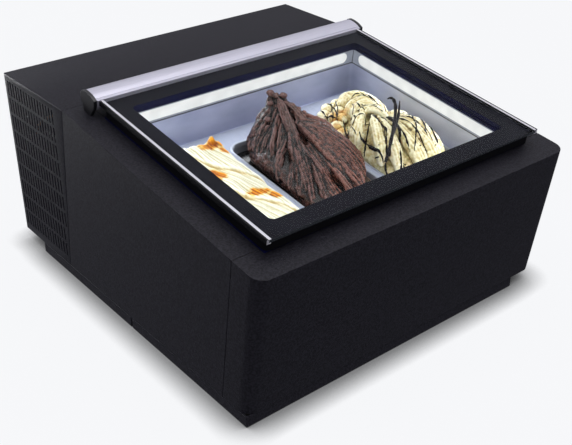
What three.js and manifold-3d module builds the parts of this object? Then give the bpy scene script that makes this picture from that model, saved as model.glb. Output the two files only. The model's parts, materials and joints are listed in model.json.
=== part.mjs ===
// Countertop ice-cream display freezer with a sloped lift-up glass lid and three pans.
// Millimetres, +Z up, +Y towards the rear. The origin is the centre of the footprint, on the
// surface that the feet stand on. Everything in the display half is laid out on the "deck":
// the sloped top plane, with x across, s up the slope from the front top edge, and h square to it.
import * as THREE from 'three';
import { mergeVertices } from 'three/addons/utils/BufferGeometryUtils.js';
import Module from 'manifold-3d';

const wasm = await Module();
wasm.setup();

// ---------------------------------------------------------------- driving dimensions
const WIDTH = 630;
const DEPTH = 721;
const HEIGHT = 330;
const SLOPE = THREE.MathUtils.degToRad(7.6);
const FLAT_TOP_START = 508;
const SHEET = 1.5;
const GAP = 0.3;
const SEAM = 0.7;
const BASE_Z = 20;
const FRONT_SEAM = 58.5;
const FRONT_CORNER_R = 22;
const FLANGE_WIDTH = 46;

// display well, on the deck
const WELL_X = 260;
const WELL_FRONT = 57;
const WELL_REAR = 454;
const LIGHT_TOP = -6;
const LIGHT_BOTTOM = -32;
const LEDGE = -93;
const WELL_FLOOR = -206;
const SUMP_X = 253;
const SUMP_FRONT = 64;
const SUMP_REAR = 428;

// pans, on the deck
const PAN_WIDTH = 165;
const PAN_LENGTH = 330;
const PAN_DEPTH = 120;
const PAN_PITCH = 173.3;
const PAN_FRONT = 62;
const RIM_TOP = -76.7;
const RIM_WIDTH = 5.5;
const PAN_WALL = 1.2;
const PAN_CORNER_R = 24;
const PAN_TAPER = 0.92;

// lid, on the deck
const LID_X = 276;
const TRIM_INNER = 268.4;
const GLASS_FRONT = 37;
const GLASS_TOP = 29;
const GLASS_THICK = 4.7;
const BAR_FRONT = 462.4;
const HINGE_S = 485;
const HINGE_H = 20;
const HINGE_PIN_R = 6;
const BAR_X = 278.5;
const BRACKET_X = 285;

// machine compartment, in the part's own axes
const REAR_Y = DEPTH / 2;
const SLOT_COLUMNS = 17;
const SLOT_ROWS = 9;
const SLOT_PITCH_Y = 10.15;
const SLOT_FIRST_Y = 186;
const SLOT_PITCH_Z = 32;
const SLOT_WIDTH = 4;
const SLOT_HEIGHT = 27;
const FAN_Y = 262;
const FAN_Z = 132;
const FAN_R = 66;
const COMPRESSOR_X = 60;
const COMPRESSOR_Y = 262;

const halfWidth = WIDTH / 2;
const frontTopZ = HEIGHT - Math.tan(SLOPE) * FLAT_TOP_START;
const deckEnd = FLAT_TOP_START / Math.cos(SLOPE);
const glassBottom = GLASS_TOP - GLASS_THICK;

// ---------------------------------------------------------------- materials
function paint(name, color, roughness, metalness) {
  const material = new THREE.MeshStandardMaterial({ color, roughness, metalness });
  material.name = name;
  return material;
}
const blackPaint = paint('black_powder_coat', 0x1c1c22, 0.62, 0.1);
const blackPlastic = paint('black_plastic', 0x101014, 0.4, 0);
const navyPlastic = paint('navy_plastic', 0x141a33, 0.3, 0);
const rubber = paint('rubber', 0x161616, 0.9, 0);
const anodised = paint('anodised_aluminium', 0xc4c4cc, 0.35, 0.9);
const stainless = paint('stainless_steel', 0xb9bec6, 0.32, 0.9);
const linerMetal = paint('liner_steel', 0xa9b0c4, 0.45, 0.6);
const galvanised = paint('galvanised_steel', 0x8f9396, 0.5, 0.8);
const pinSteel = paint('pin_steel', 0x9a9a9e, 0.3, 0.9);
const glass = new THREE.MeshStandardMaterial({
  color: 0x9fb0ba, roughness: 0.05, metalness: 0, transparent: true, opacity: 0.3,
});
const diffuser = paint('light_diffuser', 0xf4f8ff, 0.5, 0);
const foam = paint('insulation_foam', 0xd9cf9c, 0.9, 0);
const copper = paint('copper', 0xb0693d, 0.35, 0.9);
const compressorPaint = paint('compressor_paint', 0x17181a, 0.35, 0.3);
const finMetal = paint('fin_aluminium', 0xa7abb0, 0.45, 0.8);
const fanPlastic = paint('fan_plastic', 0x25272b, 0.5, 0);
const controlPlastic = paint('control_plastic', 0x202126, 0.45, 0);
const buttonRubber = paint('button_rubber', 0x4a4d55, 0.7, 0);
const creamIce = paint('cream_ice', 0xf0e2c4, 0.6, 0);
const chocolateIce = paint('chocolate_ice', 0x3b1f15, 0.5, 0);
const straccIce = paint('stracciatella_ice', 0xdccfa4, 0.6, 0);

// ---------------------------------------------------------------- solids
function toSolid(geometry) {
  const bare = geometry.clone();
  bare.deleteAttribute('normal');
  bare.deleteAttribute('uv');
  const merged = mergeVertices(bare, 1e-3);
  return new wasm.Manifold(new wasm.Mesh({
    numProp: 3,
    vertProperties: Float32Array.from(merged.attributes.position.array),
    triVerts: Uint32Array.from(merged.index.array),
  }));
}

function toGeometry(solid) {
  const mesh = solid.getMesh();
  const geometry = new THREE.BufferGeometry();
  geometry.setAttribute('position', new THREE.BufferAttribute(mesh.vertProperties, 3));
  geometry.setIndex(new THREE.BufferAttribute(mesh.triVerts, 1));
  geometry.computeVertexNormals();
  return geometry;
}

function join(...geometries) {
  return toGeometry(geometries.map(toSolid).reduce((sum, next) => sum.add(next)));
}

function cut(base, ...tools) {
  return toGeometry(tools.map(toSolid).reduce((rest, tool) => rest.subtract(tool), toSolid(base)));
}

function common(first, second) {
  return toGeometry(toSolid(first).intersect(toSolid(second)));
}

function box(x0, x1, y0, y1, z0, z1) {
  const geometry = new THREE.BoxGeometry(x1 - x0, y1 - y0, z1 - z0);
  return geometry.translate((x0 + x1) / 2, (y0 + y1) / 2, (z0 + z1) / 2);
}

function roundedRect(x0, x1, y0, y1, r) {
  const shape = new THREE.Shape();
  shape.moveTo(x0 + r, y0);
  shape.lineTo(x1 - r, y0);
  shape.absarc(x1 - r, y0 + r, r, -Math.PI / 2, 0, false);
  shape.lineTo(x1, y1 - r);
  shape.absarc(x1 - r, y1 - r, r, 0, Math.PI / 2, false);
  shape.lineTo(x0 + r, y1);
  shape.absarc(x0 + r, y1 - r, r, Math.PI / 2, Math.PI, false);
  shape.lineTo(x0, y0 + r);
  shape.absarc(x0 + r, y0 + r, r, Math.PI, Math.PI * 1.5, false);
  return shape;
}

function polygon(points) {
  return new THREE.Shape(points.map(([x, y]) => new THREE.Vector2(x, y)));
}

function extrudeUp(shape, z0, z1, curveSegments = 4) {
  const geometry = new THREE.ExtrudeGeometry(shape, { depth: z1 - z0, bevelEnabled: false, curveSegments });
  return geometry.translate(0, 0, z0);
}

// a section drawn in (y, z) and extruded across the width
function extrudeAcross(shape, x0, x1, curveSegments = 4) {
  const geometry = new THREE.ExtrudeGeometry(shape, { depth: x1 - x0, bevelEnabled: false, curveSegments });
  const turn = new THREE.Matrix4().makeBasis(
    new THREE.Vector3(0, 1, 0),
    new THREE.Vector3(0, 0, 1),
    new THREE.Vector3(1, 0, 0),
  );
  return geometry.applyMatrix4(turn).translate(x0, 0, 0);
}

// a section drawn in (x, z) and extruded along the slope or the depth
function extrudeBack(shape, y0, y1, curveSegments = 4) {
  const geometry = new THREE.ExtrudeGeometry(shape, { depth: y1 - y0, bevelEnabled: false, curveSegments });
  return geometry.rotateX(Math.PI / 2).translate(0, y1, 0);
}

function cylinderAlongX(x0, x1, y, z, r, sides) {
  const geometry = new THREE.CylinderGeometry(r, r, x1 - x0, sides);
  return geometry.rotateZ(Math.PI / 2).translate((x0 + x1) / 2, y, z);
}

function cylinderAlongY(x, y0, y1, z, r, sides) {
  return new THREE.CylinderGeometry(r, r, y1 - y0, sides).translate(0, (y0 + y1) / 2, 0).translate(x, 0, z);
}

function lathe(profile, sides, x, y) {
  const points = profile.map(([r, z]) => new THREE.Vector2(r, z));
  return new THREE.LatheGeometry(points, sides).rotateX(Math.PI / 2).translate(x, y, 0);
}

function tube(points, r, steps, sides = 8) {
  const path = new THREE.CatmullRomCurve3(points.map(([x, y, z]) => new THREE.Vector3(x, y, z)));
  const section = new THREE.Shape();
  for (let i = 0; i < sides; i += 1) {
    const angle = (i / sides) * Math.PI * 2;
    const place = [r * Math.cos(angle), r * Math.sin(angle)];
    if (i === 0) section.moveTo(...place);
    else section.lineTo(...place);
  }
  return new THREE.ExtrudeGeometry(section, { steps, extrudePath: path, bevelEnabled: false });
}

function ring(outer, inner, z0, z1, curveSegments = 4) {
  const shape = outer;
  shape.holes.push(inner);
  return extrudeUp(shape, z0, z1, curveSegments);
}

// ---------------------------------------------------------------- scene graph
const freezer = new THREE.Group();
const deck = new THREE.Group();
deck.position.set(0, -DEPTH / 2, frontTopZ);
deck.rotation.x = SLOPE;
deck.updateMatrix();
freezer.add(deck);
const lid = new THREE.Group();
deck.add(lid);

function add(group, name, geometry, material) {
  const mesh = new THREE.Mesh(geometry, material);
  mesh.name = name;
  group.add(mesh);
  return mesh;
}

// deck geometry moved into the part's axes and cut off at the bottom edge of the cabinet
function downToBase(deckGeometry, bottom = BASE_Z) {
  const placed = deckGeometry.clone().applyMatrix4(deck.matrix);
  return common(placed, box(-WIDTH, WIDTH, -DEPTH, DEPTH, bottom, HEIGHT * 2));
}

// where a plane square to the deck, s up the slope, crosses the height z
function deckY(s, z) {
  return -DEPTH / 2 + s / Math.cos(SLOPE) + Math.tan(SLOPE) * (frontTopZ - z);
}

// ---------------------------------------------------------------- cabinet panels
function frontOutline(inset, rear) {
  const x = halfWidth - inset;
  const r = FRONT_CORNER_R - inset;
  const shape = new THREE.Shape();
  shape.moveTo(-x, rear);
  shape.lineTo(-x, FRONT_CORNER_R);
  shape.absarc(-x + r, FRONT_CORNER_R, r, Math.PI, Math.PI * 1.5, false);
  shape.lineTo(x - r, inset);
  shape.absarc(x - r, FRONT_CORNER_R, r, -Math.PI / 2, 0, false);
  shape.lineTo(x, rear);
  return shape;
}

function frontPanel() {
  const rear = FRONT_SEAM - SEAM / 2;
  const skin = extrudeUp(frontOutline(0, rear), -HEIGHT, 0, 5);
  const hollow = extrudeUp(frontOutline(SHEET, rear + 1), -HEIGHT - 1, -SHEET, 5);
  const opening = box(-halfWidth + FLANGE_WIDTH, halfWidth - FLANGE_WIDTH, 48, rear + 1, -3, 1);
  return downToBase(cut(skin, hollow, opening));
}

function sidePanel(side) {
  const front = FRONT_SEAM + SEAM / 2;
  const rear = deckEnd - SEAM / 2;
  const section = polygon([
    [-halfWidth, -HEIGHT], [-halfWidth + SHEET, -HEIGHT], [-halfWidth + SHEET, -SHEET],
    [-halfWidth + FLANGE_WIDTH, -SHEET], [-halfWidth + FLANGE_WIDTH, 0], [-halfWidth, 0],
  ].map(([x, h]) => [x * side, h]));
  return downToBase(extrudeBack(section, front, rear));
}

// rows of upright slots, left out where they would come too close to the leaning front seam
function slotBoxes(x0, x1) {
  const slots = [];
  for (let column = 0; column < SLOT_COLUMNS; column += 1) {
    for (let row = 0; row < SLOT_ROWS; row += 1) {
      const front = SLOT_FIRST_Y + column * SLOT_PITCH_Y - SLOT_WIDTH / 2;
      const top = HEIGHT - 11 - row * SLOT_PITCH_Z;
      const bottom = top - SLOT_HEIGHT;
      const seam = deckY(deckEnd, bottom);
      if (front > seam + 3) slots.push(box(x0, x1, front, front + SLOT_WIDTH, bottom, top));
    }
  }
  return slots;
}

function rearHousing() {
  const front = deckEnd + SEAM / 2;
  const profile = polygon([
    [deckY(front, HEIGHT), HEIGHT], [deckY(front, BASE_Z), BASE_Z], [REAR_Y, BASE_Z], [REAR_Y, HEIGHT],
  ]);
  const shell = extrudeAcross(profile, -halfWidth, halfWidth);
  const inside = box(-halfWidth + SHEET, halfWidth - SHEET, -DEPTH, DEPTH, 0, HEIGHT - SHEET);
  const reach = 5;
  const leftSlots = slotBoxes(-halfWidth - reach, -halfWidth + reach);
  const rightSlots = slotBoxes(halfWidth - reach, halfWidth + reach);
  return cut(shell, inside, ...leftSlots, ...rightSlots);
}

function hingeRail() {
  const x = halfWidth - FLANGE_WIDTH - GAP;
  const front = WELL_REAR + 8 + GAP;
  const rear = deckEnd - SEAM / 2;
  const section = polygon([
    [front, 0], [front, -SHEET], [rear - SHEET, -SHEET], [rear - SHEET, -18], [rear, -18], [rear, 0],
  ]);
  return extrudeAcross(section, -x, x);
}

function basePan() {
  const inset = SHEET + 0.5;
  const wall = SHEET;
  const front = deckY(inset, BASE_Z) + 0.5;
  const outline = (extra) => roundedRect(
    -halfWidth + inset + extra, halfWidth - inset - extra,
    front + extra, REAR_Y - 4 - extra, FRONT_CORNER_R - inset - extra,
  );
  const tray = extrudeUp(outline(0), BASE_Z + GAP, BASE_Z + 12);
  const hollow = extrudeUp(outline(wall), BASE_Z + GAP + wall, BASE_Z + 20);
  return cut(tray, hollow);
}

// ---------------------------------------------------------------- plinth and feet
const PLINTH_BOTTOM = 1.5;
const PLINTH_TOP = BASE_Z - GAP / 2;
const PLINTH_WALL = 3;
const PLINTH_RIGHT = WIDTH / 2 - 53;
const PLINTH_JOINT_Y = -18;
const PLINTH_REAR_Y = 290;

function plinthFront() {
  const front = deckY(0, BASE_Z / 2);
  const left = -halfWidth;
  const shape = polygon([
    [left, front], [PLINTH_RIGHT, front], [PLINTH_RIGHT, front + 60],
    [PLINTH_RIGHT - PLINTH_WALL, front + 60], [PLINTH_RIGHT - PLINTH_WALL, front + PLINTH_WALL],
    [left + PLINTH_WALL, front + PLINTH_WALL], [left + PLINTH_WALL, PLINTH_JOINT_Y], [left, PLINTH_JOINT_Y],
  ]);
  return extrudeUp(shape, PLINTH_BOTTOM, PLINTH_TOP);
}

function plinthRail(x0, front, rear) {
  return box(x0, x0 + PLINTH_WALL, front, rear, PLINTH_BOTTOM, PLINTH_TOP);
}

function foot(x, y) {
  const profile = [[0, 0], [13, 0], [15, 2], [15, 9], [7, 9], [7, PLINTH_TOP], [0, PLINTH_TOP]];
  return lathe(profile, 16, x, y);
}

// ---------------------------------------------------------------- insulated display well
function innerLiner() {
  const t = SHEET;
  const upperShape = roundedRect(-WELL_X - t, WELL_X + t, WELL_FRONT - t, WELL_REAR + t, 6 + t);
  const lowerShape = roundedRect(-SUMP_X - t, SUMP_X + t, SUMP_FRONT - t, SUMP_REAR + t, 18 + t);
  const upperOuter = extrudeUp(upperShape, LEDGE - t, LIGHT_BOTTOM - 1);
  const lowerOuter = extrudeUp(lowerShape, WELL_FLOOR - t, LEDGE - 0.5);
  const upper = extrudeUp(roundedRect(-WELL_X, WELL_X, WELL_FRONT, WELL_REAR, 6), LEDGE, 0);
  const lower = extrudeUp(roundedRect(-SUMP_X, SUMP_X, SUMP_FRONT, SUMP_REAR, 18), WELL_FLOOR, LEDGE + 1);
  return cut(join(upperOuter, lowerOuter), upper, lower);
}

function insulationFoam() {
  const block = extrudeUp(roundedRect(-halfWidth + 4, halfWidth - 4, 4, 500, 22), -245, -2);
  const upper = box(-WELL_X - 6, WELL_X + 6, WELL_FRONT - 6, WELL_REAR + 6, LEDGE - SHEET - 1, 1);
  const lower = box(
    -SUMP_X - 14, SUMP_X + 14, SUMP_FRONT - 14, SUMP_REAR + 14, WELL_FLOOR - SHEET - 1, LEDGE);
  const collarRoom = box(
    -WELL_X - 9.5, WELL_X + 9.5, WELL_FRONT - 9.5, WELL_REAR + 8.5, LIGHT_TOP - 0.5, 1);
  const railRoom = box(-WIDTH, WIDTH, WELL_REAR + 8, 520, -19, 1);
  return downToBase(cut(block, upper, lower, collarRoom, railRoom), BASE_Z + 13);
}

function collarFrame() {
  const outer = roundedRect(-WELL_X - 8.7, WELL_X + 8.7, WELL_FRONT - 8.7, WELL_REAR + 8, 2);
  const inner = roundedRect(-WELL_X, WELL_X, WELL_FRONT, WELL_REAR, 4);
  return ring(outer, inner, LIGHT_TOP + GAP, 0);
}

function lightStrip(x0, x1, s0, s1) {
  return box(x0, x1, s0, s1, LIGHT_BOTTOM, LIGHT_TOP);
}

// three flattened loops round the sump, each joined to the next by a riser at the rear
function evaporatorCoil() {
  const inner = 2.2;
  const outer = 9.2;
  const loopHeight = 8;
  const pitch = 30;
  const sump = (grow, r) => roundedRect(
    -SUMP_X - SHEET - grow, SUMP_X + SHEET + grow, SUMP_FRONT - SHEET - grow, SUMP_REAR + SHEET + grow, r);
  const parts = [];
  for (let i = 0; i < 3; i += 1) {
    const top = LEDGE - 20 - i * pitch;
    parts.push(ring(sump(outer, 24), sump(inner, 20), top - loopHeight, top));
    const x = i % 2 === 0 ? 180 : -180;
    const s = SUMP_REAR + SHEET + inner;
    if (i < 2) parts.push(box(x, x + 8, s + 0.5, s + 6.5, top - pitch - 2, top - 2));
  }
  return join(...parts);
}

// ---------------------------------------------------------------- pans and their contents
function taperedBlock(width, length, r, bottom, top, taper) {
  const shape = roundedRect(-width / 2, width / 2, -length / 2, length / 2, r);
  const geometry = extrudeUp(shape, bottom, top, 4);
  const position = geometry.attributes.position;
  for (let i = 0; i < position.count; i += 1) {
    if (position.getZ(i) < (bottom + top) / 2) {
      position.setX(i, position.getX(i) * taper);
      position.setY(i, position.getY(i) * (1 - ((1 - taper) * width) / length));
    }
  }
  return geometry;
}

const bodyWidth = PAN_WIDTH - 2 * RIM_WIDTH;
const bodyLength = PAN_LENGTH - 2 * RIM_WIDTH;
const panCentreS = PAN_FRONT + PAN_LENGTH / 2;
const panBottom = RIM_TOP - PAN_DEPTH;

function pan() {
  const rimShape = roundedRect(
    -PAN_WIDTH / 2, PAN_WIDTH / 2, -PAN_LENGTH / 2, PAN_LENGTH / 2, PAN_CORNER_R + RIM_WIDTH);
  const rim = extrudeUp(rimShape, RIM_TOP - 1, RIM_TOP, 4);
  const body = taperedBlock(bodyWidth, bodyLength, PAN_CORNER_R, panBottom, RIM_TOP - 0.5, PAN_TAPER);
  const inside = taperedBlock(
    bodyWidth - 2 * PAN_WALL, bodyLength - 2 * PAN_WALL, PAN_CORNER_R - PAN_WALL,
    panBottom + PAN_WALL, RIM_TOP + 1, PAN_TAPER);
  return cut(join(rim, body), inside);
}

// height of each flavour above the pan rim, over u and v from -1 to 1 across and along the pan
function moundHeight(u, v, peak, centre, spread) {
  const edge = (1 - u ** 4) * (1 - v ** 6);
  const bump = Math.exp(-(((u - centre[0]) / spread[0]) ** 2) - ((v - centre[1]) / spread[1]) ** 2);
  return edge * (0.35 * peak + 0.65 * peak * bump);
}

function iceCream(peak, centre, spread) {
  const clear = 2 * (PAN_WALL + 1.6);
  const fill = taperedBlock(
    bodyWidth - clear, bodyLength - clear, PAN_CORNER_R - 2,
    panBottom + PAN_WALL + 0.5, RIM_TOP - 8, PAN_TAPER);
  const width = bodyWidth - clear - 3;
  const length = bodyLength - clear - 3;
  const crown = new THREE.BoxGeometry(width, length, 20, 8, 12, 1);
  const position = crown.attributes.position;
  for (let i = 0; i < position.count; i += 1) {
    const u = position.getX(i) / (width / 2);
    const v = position.getY(i) / (length / 2);
    const round = 1 - 0.07 * (u * v) ** 2;
    if (position.getZ(i) > 0) position.setZ(i, 3 + moundHeight(u, v, peak, centre, spread));
    position.setX(i, position.getX(i) * round);
    position.setY(i, position.getY(i) * round);
  }
  return join(fill, crown.translate(0, 0, RIM_TOP - 2));
}

function panFrame() {
  const shape = roundedRect(-257, 257, 59.5, 431, 3);
  for (let i = -1; i <= 1; i += 1) {
    const x = i * PAN_PITCH;
    const half = bodyWidth / 2 + 1;
    const holeFront = panCentreS - bodyLength / 2 - 1;
    const holeRear = panCentreS + bodyLength / 2 + 1;
    shape.holes.push(roundedRect(x - half, x + half, holeFront, holeRear, PAN_CORNER_R));
  }
  const top = RIM_TOP - 1 - GAP;
  const plate = extrudeUp(shape, top - SHEET, top, 4);
  const skirt = ring(
    roundedRect(-257, 257, 59.5, 431, 3), roundedRect(-255.5, 255.5, 61, 429.5, 1.5),
    LEDGE + GAP, top - SHEET / 2);
  return join(plate, skirt);
}

// ---------------------------------------------------------------- lid
function lidGlass() {
  const shape = roundedRect(-LID_X + 4.5, LID_X - 4.5, GLASS_FRONT, BAR_FRONT + 5.7, 1);
  return extrudeUp(shape, glassBottom, GLASS_TOP, 2);
}

function lidFrame() {
  const body = ring(roundedRect(-270, 270, 44, 459, 10), roundedRect(-262, 262, 55, 451, 4), 4, 22.4);
  const bond = ring(
    roundedRect(-264.3, 264.3, 47, 457, 6), roundedRect(-262, 262, 55, 451, 4), 22, glassBottom - GAP);
  return join(body, bond);
}

function lidGasket() {
  return ring(roundedRect(-267.5, 267.5, 49.5, 458, 5), roundedRect(-262.5, 262.5, 54.5, 452, 3), 0.4, 3.7);
}

function lidTrim(side) {
  const top = GLASS_TOP;
  const bottom = glassBottom - 1.5;
  const section = polygon([
    [TRIM_INNER, top + GAP], [TRIM_INNER, top + 1.5], [273, top + 1.5], [273, top], [274, top],
    [274, top + 1.2], [LID_X, top + 1.2], [LID_X, bottom], [TRIM_INNER, bottom],
    [TRIM_INNER, glassBottom - GAP],
    [LID_X - 4.2, glassBottom - GAP], [LID_X - 4.2, top + GAP],
  ].map(([x, h]) => [x * side, h]));
  return extrudeBack(section, GLASS_FRONT, BAR_FRONT - GAP);
}

const BAR_OUTLINE = [
  [462.4, 29.3], [462.4, 31.2], [467, 31.7], [467.5, 32.7], [476, 35], [486, 36.2], [495, 35.9],
  [500.5, 33.4], [503.8, 29], [504.4, 23], [502, 16.5], [496, 11], [486, 8.4], [475, 9], [467, 13],
  [463, 19], [462.4, 24], [468.4, 24], [468.4, 29.3],
];

function hingeBar() {
  const bar = extrudeAcross(polygon(BAR_OUTLINE), -BAR_X, BAR_X);
  return cut(bar, cylinderAlongX(-WIDTH, WIDTH, HINGE_S, HINGE_H, HINGE_PIN_R + 0.4, 16));
}

function hingeBracket(side) {
  const outline = polygon([
    [462.8, 24], [463, 31], [468, 33.4], [477, 35.8], [486, 36.8], [496, 36.4], [501.5, 33.8], [504.8, 29],
    [505.4, 23], [503, 15], [498, 8], [496, GAP], [474, GAP], [470, 8], [465, 15],
  ]);
  const inner = BAR_X + 0.5;
  const x0 = side > 0 ? inner : -BRACKET_X;
  const x1 = side > 0 ? BRACKET_X : -inner;
  const boreEnd = BRACKET_X - 2;
  const bore = cylinderAlongX(-boreEnd, boreEnd, HINGE_S, HINGE_H, HINGE_PIN_R + 0.3, 16);
  return cut(extrudeAcross(outline, x0, x1), bore);
}

function hingePin(side) {
  const inner = BAR_X - 18;
  const outer = BRACKET_X - 2.3;
  return cylinderAlongX(Math.min(inner * side, outer * side), Math.max(inner * side, outer * side),
    HINGE_S, HINGE_H, HINGE_PIN_R, 16);
}

// ---------------------------------------------------------------- refrigeration
function compressorCan() {
  return lathe([
    [0, 40], [44, 40], [58, 52], [62, 66], [62, 112], [64.5, 114], [64.5, 120], [62, 122], [61, 160],
    [52, 182], [30, 193], [0, 196],
  ], 20, COMPRESSOR_X, COMPRESSOR_Y);
}

function compressorBase() {
  const plate = box(COMPRESSOR_X - 82, COMPRESSOR_X + 82, COMPRESSOR_Y - 54, COMPRESSOR_Y + 54, 35.5, 39);
  const legs = [];
  for (const sx of [-1, 1]) {
    for (const sy of [-1, 1]) {
      const x = COMPRESSOR_X + sx * 70;
      const y = COMPRESSOR_Y + sy * 42;
      legs.push(lathe([[0, 22.2], [10, 22.2], [10, 36], [0, 36]], 10, x, y));
    }
  }
  return join(plate, ...legs);
}

function condenser() {
  const x0 = -302;
  const x1 = -266;
  const fins = 15;
  const core = box(x0, x1, FAN_Y - 76, FAN_Y + 76, FAN_Z - 82, FAN_Z + 82);
  const grooves = [];
  const pitch = 150 / fins;
  for (let i = 0; i < fins; i += 1) {
    const y = FAN_Y - 75 + (i + 0.5) * pitch;
    grooves.push(box(x0 - 1, x0 + 12, y - 3.4, y + 3.4, FAN_Z - 78, FAN_Z + 78));
  }
  return cut(core, ...grooves);
}

function fanShroud() {
  const plate = box(-262, -259.5, FAN_Y - 78, FAN_Y + 78, 22.2, FAN_Z + 82);
  const duct = cylinderAlongX(-261, -236, FAN_Y, FAN_Z, FAN_R + 6, 24);
  const hole = cylinderAlongX(-300, -200, FAN_Y, FAN_Z, FAN_R + 4, 24);
  return cut(join(plate, duct), hole);
}

function fanBlade() {
  const hub = cylinderAlongX(-256, -240, FAN_Y, FAN_Z, 20, 16);
  const blades = [];
  for (let i = 0; i < 5; i += 1) {
    const blade = new THREE.BoxGeometry(2, 34, 52);
    blade.rotateZ(0.5).translate(0, 0, 38);
    blades.push(blade.rotateX((i / 5) * Math.PI * 2).translate(-248, FAN_Y, FAN_Z));
  }
  const bore = cylinderAlongX(-300, -200, FAN_Y, FAN_Z, 3.4, 8);
  return cut(join(hub, ...blades), bore);
}

function fanMotor() {
  const can = cylinderAlongX(-236, -196, FAN_Y, FAN_Z, 29, 18);
  const shaft = cylinderAlongX(-254, -230, FAN_Y, FAN_Z, 3, 8);
  return join(can, shaft);
}

function fanBracket() {
  const top = FAN_Z + 76;
  const section = polygon([
    [-259.3, top], [-192, top], [-192, FAN_Z - 76], [-259.3, FAN_Z - 76], [-259.3, FAN_Z - 74],
    [-194, FAN_Z - 74], [-194, top - 2], [-259.3, top - 2],
  ]);
  return extrudeBack(section, FAN_Y - 12, FAN_Y + 12);
}

function filterDrier() {
  const profile = [[0, 60], [4, 62], [4, 70], [12, 78], [12, 150], [4, 160], [4, 168], [0, 170]];
  return lathe(profile, 12, -130, 300);
}

// ---------------------------------------------------------------- rear panel and controls
const PANEL_Y = REAR_Y - 3.2;
const CONTROL_X = 175;
const CONTROL_Z = 276;
const SWITCH_X = 175;
const SWITCH_Z = 214;
const INLET_X = 175;
const INLET_Z = 150;
const BUTTON_OFFSETS = { button_down: 8, button_up: 20, button_set: 32 };

function rearServicePanel() {
  const plate = box(-halfWidth + 2.2, halfWidth - 2.2, PANEL_Y, PANEL_Y + SHEET, BASE_Z + 2, HEIGHT - 2.2);
  const tools = [
    box(CONTROL_X - 41, CONTROL_X + 41, 300, 400, CONTROL_Z - 17, CONTROL_Z + 17),
    box(SWITCH_X - 20, SWITCH_X + 20, 300, 400, SWITCH_Z - 14, SWITCH_Z + 14),
    box(INLET_X - 24.5, INLET_X + 24.5, 300, 400, INLET_Z - 14, INLET_Z + 14),
  ];
  for (let row = 0; row < 12; row += 1) {
    for (let column = 0; column < 2; column += 1) {
      const x = -285 + column * 190;
      const z = 60 + row * 18;
      tools.push(box(x, x + 165, 300, 400, z - 2, z + 2));
    }
  }
  return cut(plate, ...tools);
}

function controller() {
  const body = box(CONTROL_X - 40, CONTROL_X + 40, 300, PANEL_Y + 1, CONTROL_Z - 16, CONTROL_Z + 16);
  const faceShape = roundedRect(CONTROL_X - 44, CONTROL_X + 44, CONTROL_Z - 20, CONTROL_Z + 20, 3);
  const face = extrudeBack(faceShape, PANEL_Y + SHEET + GAP, REAR_Y - 0.6);
  const neck = box(CONTROL_X - 40, CONTROL_X + 40, PANEL_Y, PANEL_Y + 2.2, CONTROL_Z - 16, CONTROL_Z + 16);
  const display = box(
    CONTROL_X - 38, CONTROL_X - 2, REAR_Y - 1.2, REAR_Y + 2, CONTROL_Z - 12, CONTROL_Z + 12);
  const pockets = Object.values(BUTTON_OFFSETS).map(
    (offset) => cylinderAlongY(CONTROL_X + offset, REAR_Y - 8, REAR_Y + 2, CONTROL_Z, 4.4, 12));
  return cut(join(body, neck, face), display, ...pockets);
}

function pushButton(offset) {
  return cylinderAlongY(CONTROL_X + offset, REAR_Y - 5.5, REAR_Y, CONTROL_Z, 4, 12);
}

function switchHousing() {
  const body = box(SWITCH_X - 19, SWITCH_X + 19, 325, PANEL_Y + 2.2, SWITCH_Z - 13, SWITCH_Z + 13);
  const faceShape = roundedRect(SWITCH_X - 22, SWITCH_X + 22, SWITCH_Z - 16, SWITCH_Z + 16, 2);
  const face = extrudeBack(faceShape, PANEL_Y + SHEET + GAP, REAR_Y - 0.6);
  const pockets = [-9.5, 9.5].map(
    (dx) => box(SWITCH_X + dx - 7, SWITCH_X + dx + 7, 338, 400, SWITCH_Z - 11.6, SWITCH_Z + 11.6));
  return cut(join(body, face), ...pockets);
}

// a rocker in its "on" position, turned about its pivot
const ROCKER_Y = REAR_Y - 6;
function rocker(dx) {
  const shape = new THREE.Shape();
  shape.moveTo(2, -10.4);
  shape.lineTo(4, -10.2);
  shape.lineTo(3, 0);
  shape.lineTo(4, 10.2);
  shape.lineTo(2, 10.4);
  shape.absarc(0, 0, 10.4, Math.PI / 2 - 0.2, Math.PI * 1.5 + 0.2, false);
  const geometry = extrudeAcross(shape, -6.2, 6.2, 8);
  return geometry.rotateX(THREE.MathUtils.degToRad(-9)).translate(SWITCH_X + dx, ROCKER_Y, SWITCH_Z);
}

function powerInlet() {
  const body = box(INLET_X - 23.5, INLET_X + 23.5, 328, PANEL_Y + 2.2, INLET_Z - 13, INLET_Z + 13);
  const faceShape = roundedRect(INLET_X - 26, INLET_X + 26, INLET_Z - 15.5, INLET_Z + 15.5, 2);
  const face = extrudeBack(faceShape, PANEL_Y + SHEET + GAP, REAR_Y - 0.6);
  const socket = box(INLET_X - 12, INLET_X + 12, REAR_Y - 18, 400, INLET_Z - 8, INLET_Z + 8);
  const blades = [-7, 0, 7].map(
    (dx) => box(INLET_X + dx - 1, INLET_X + dx + 1, REAR_Y - 20, REAR_Y - 3, INLET_Z - 2, INLET_Z + 2));
  return join(cut(join(body, face), socket), ...blades);
}

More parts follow.
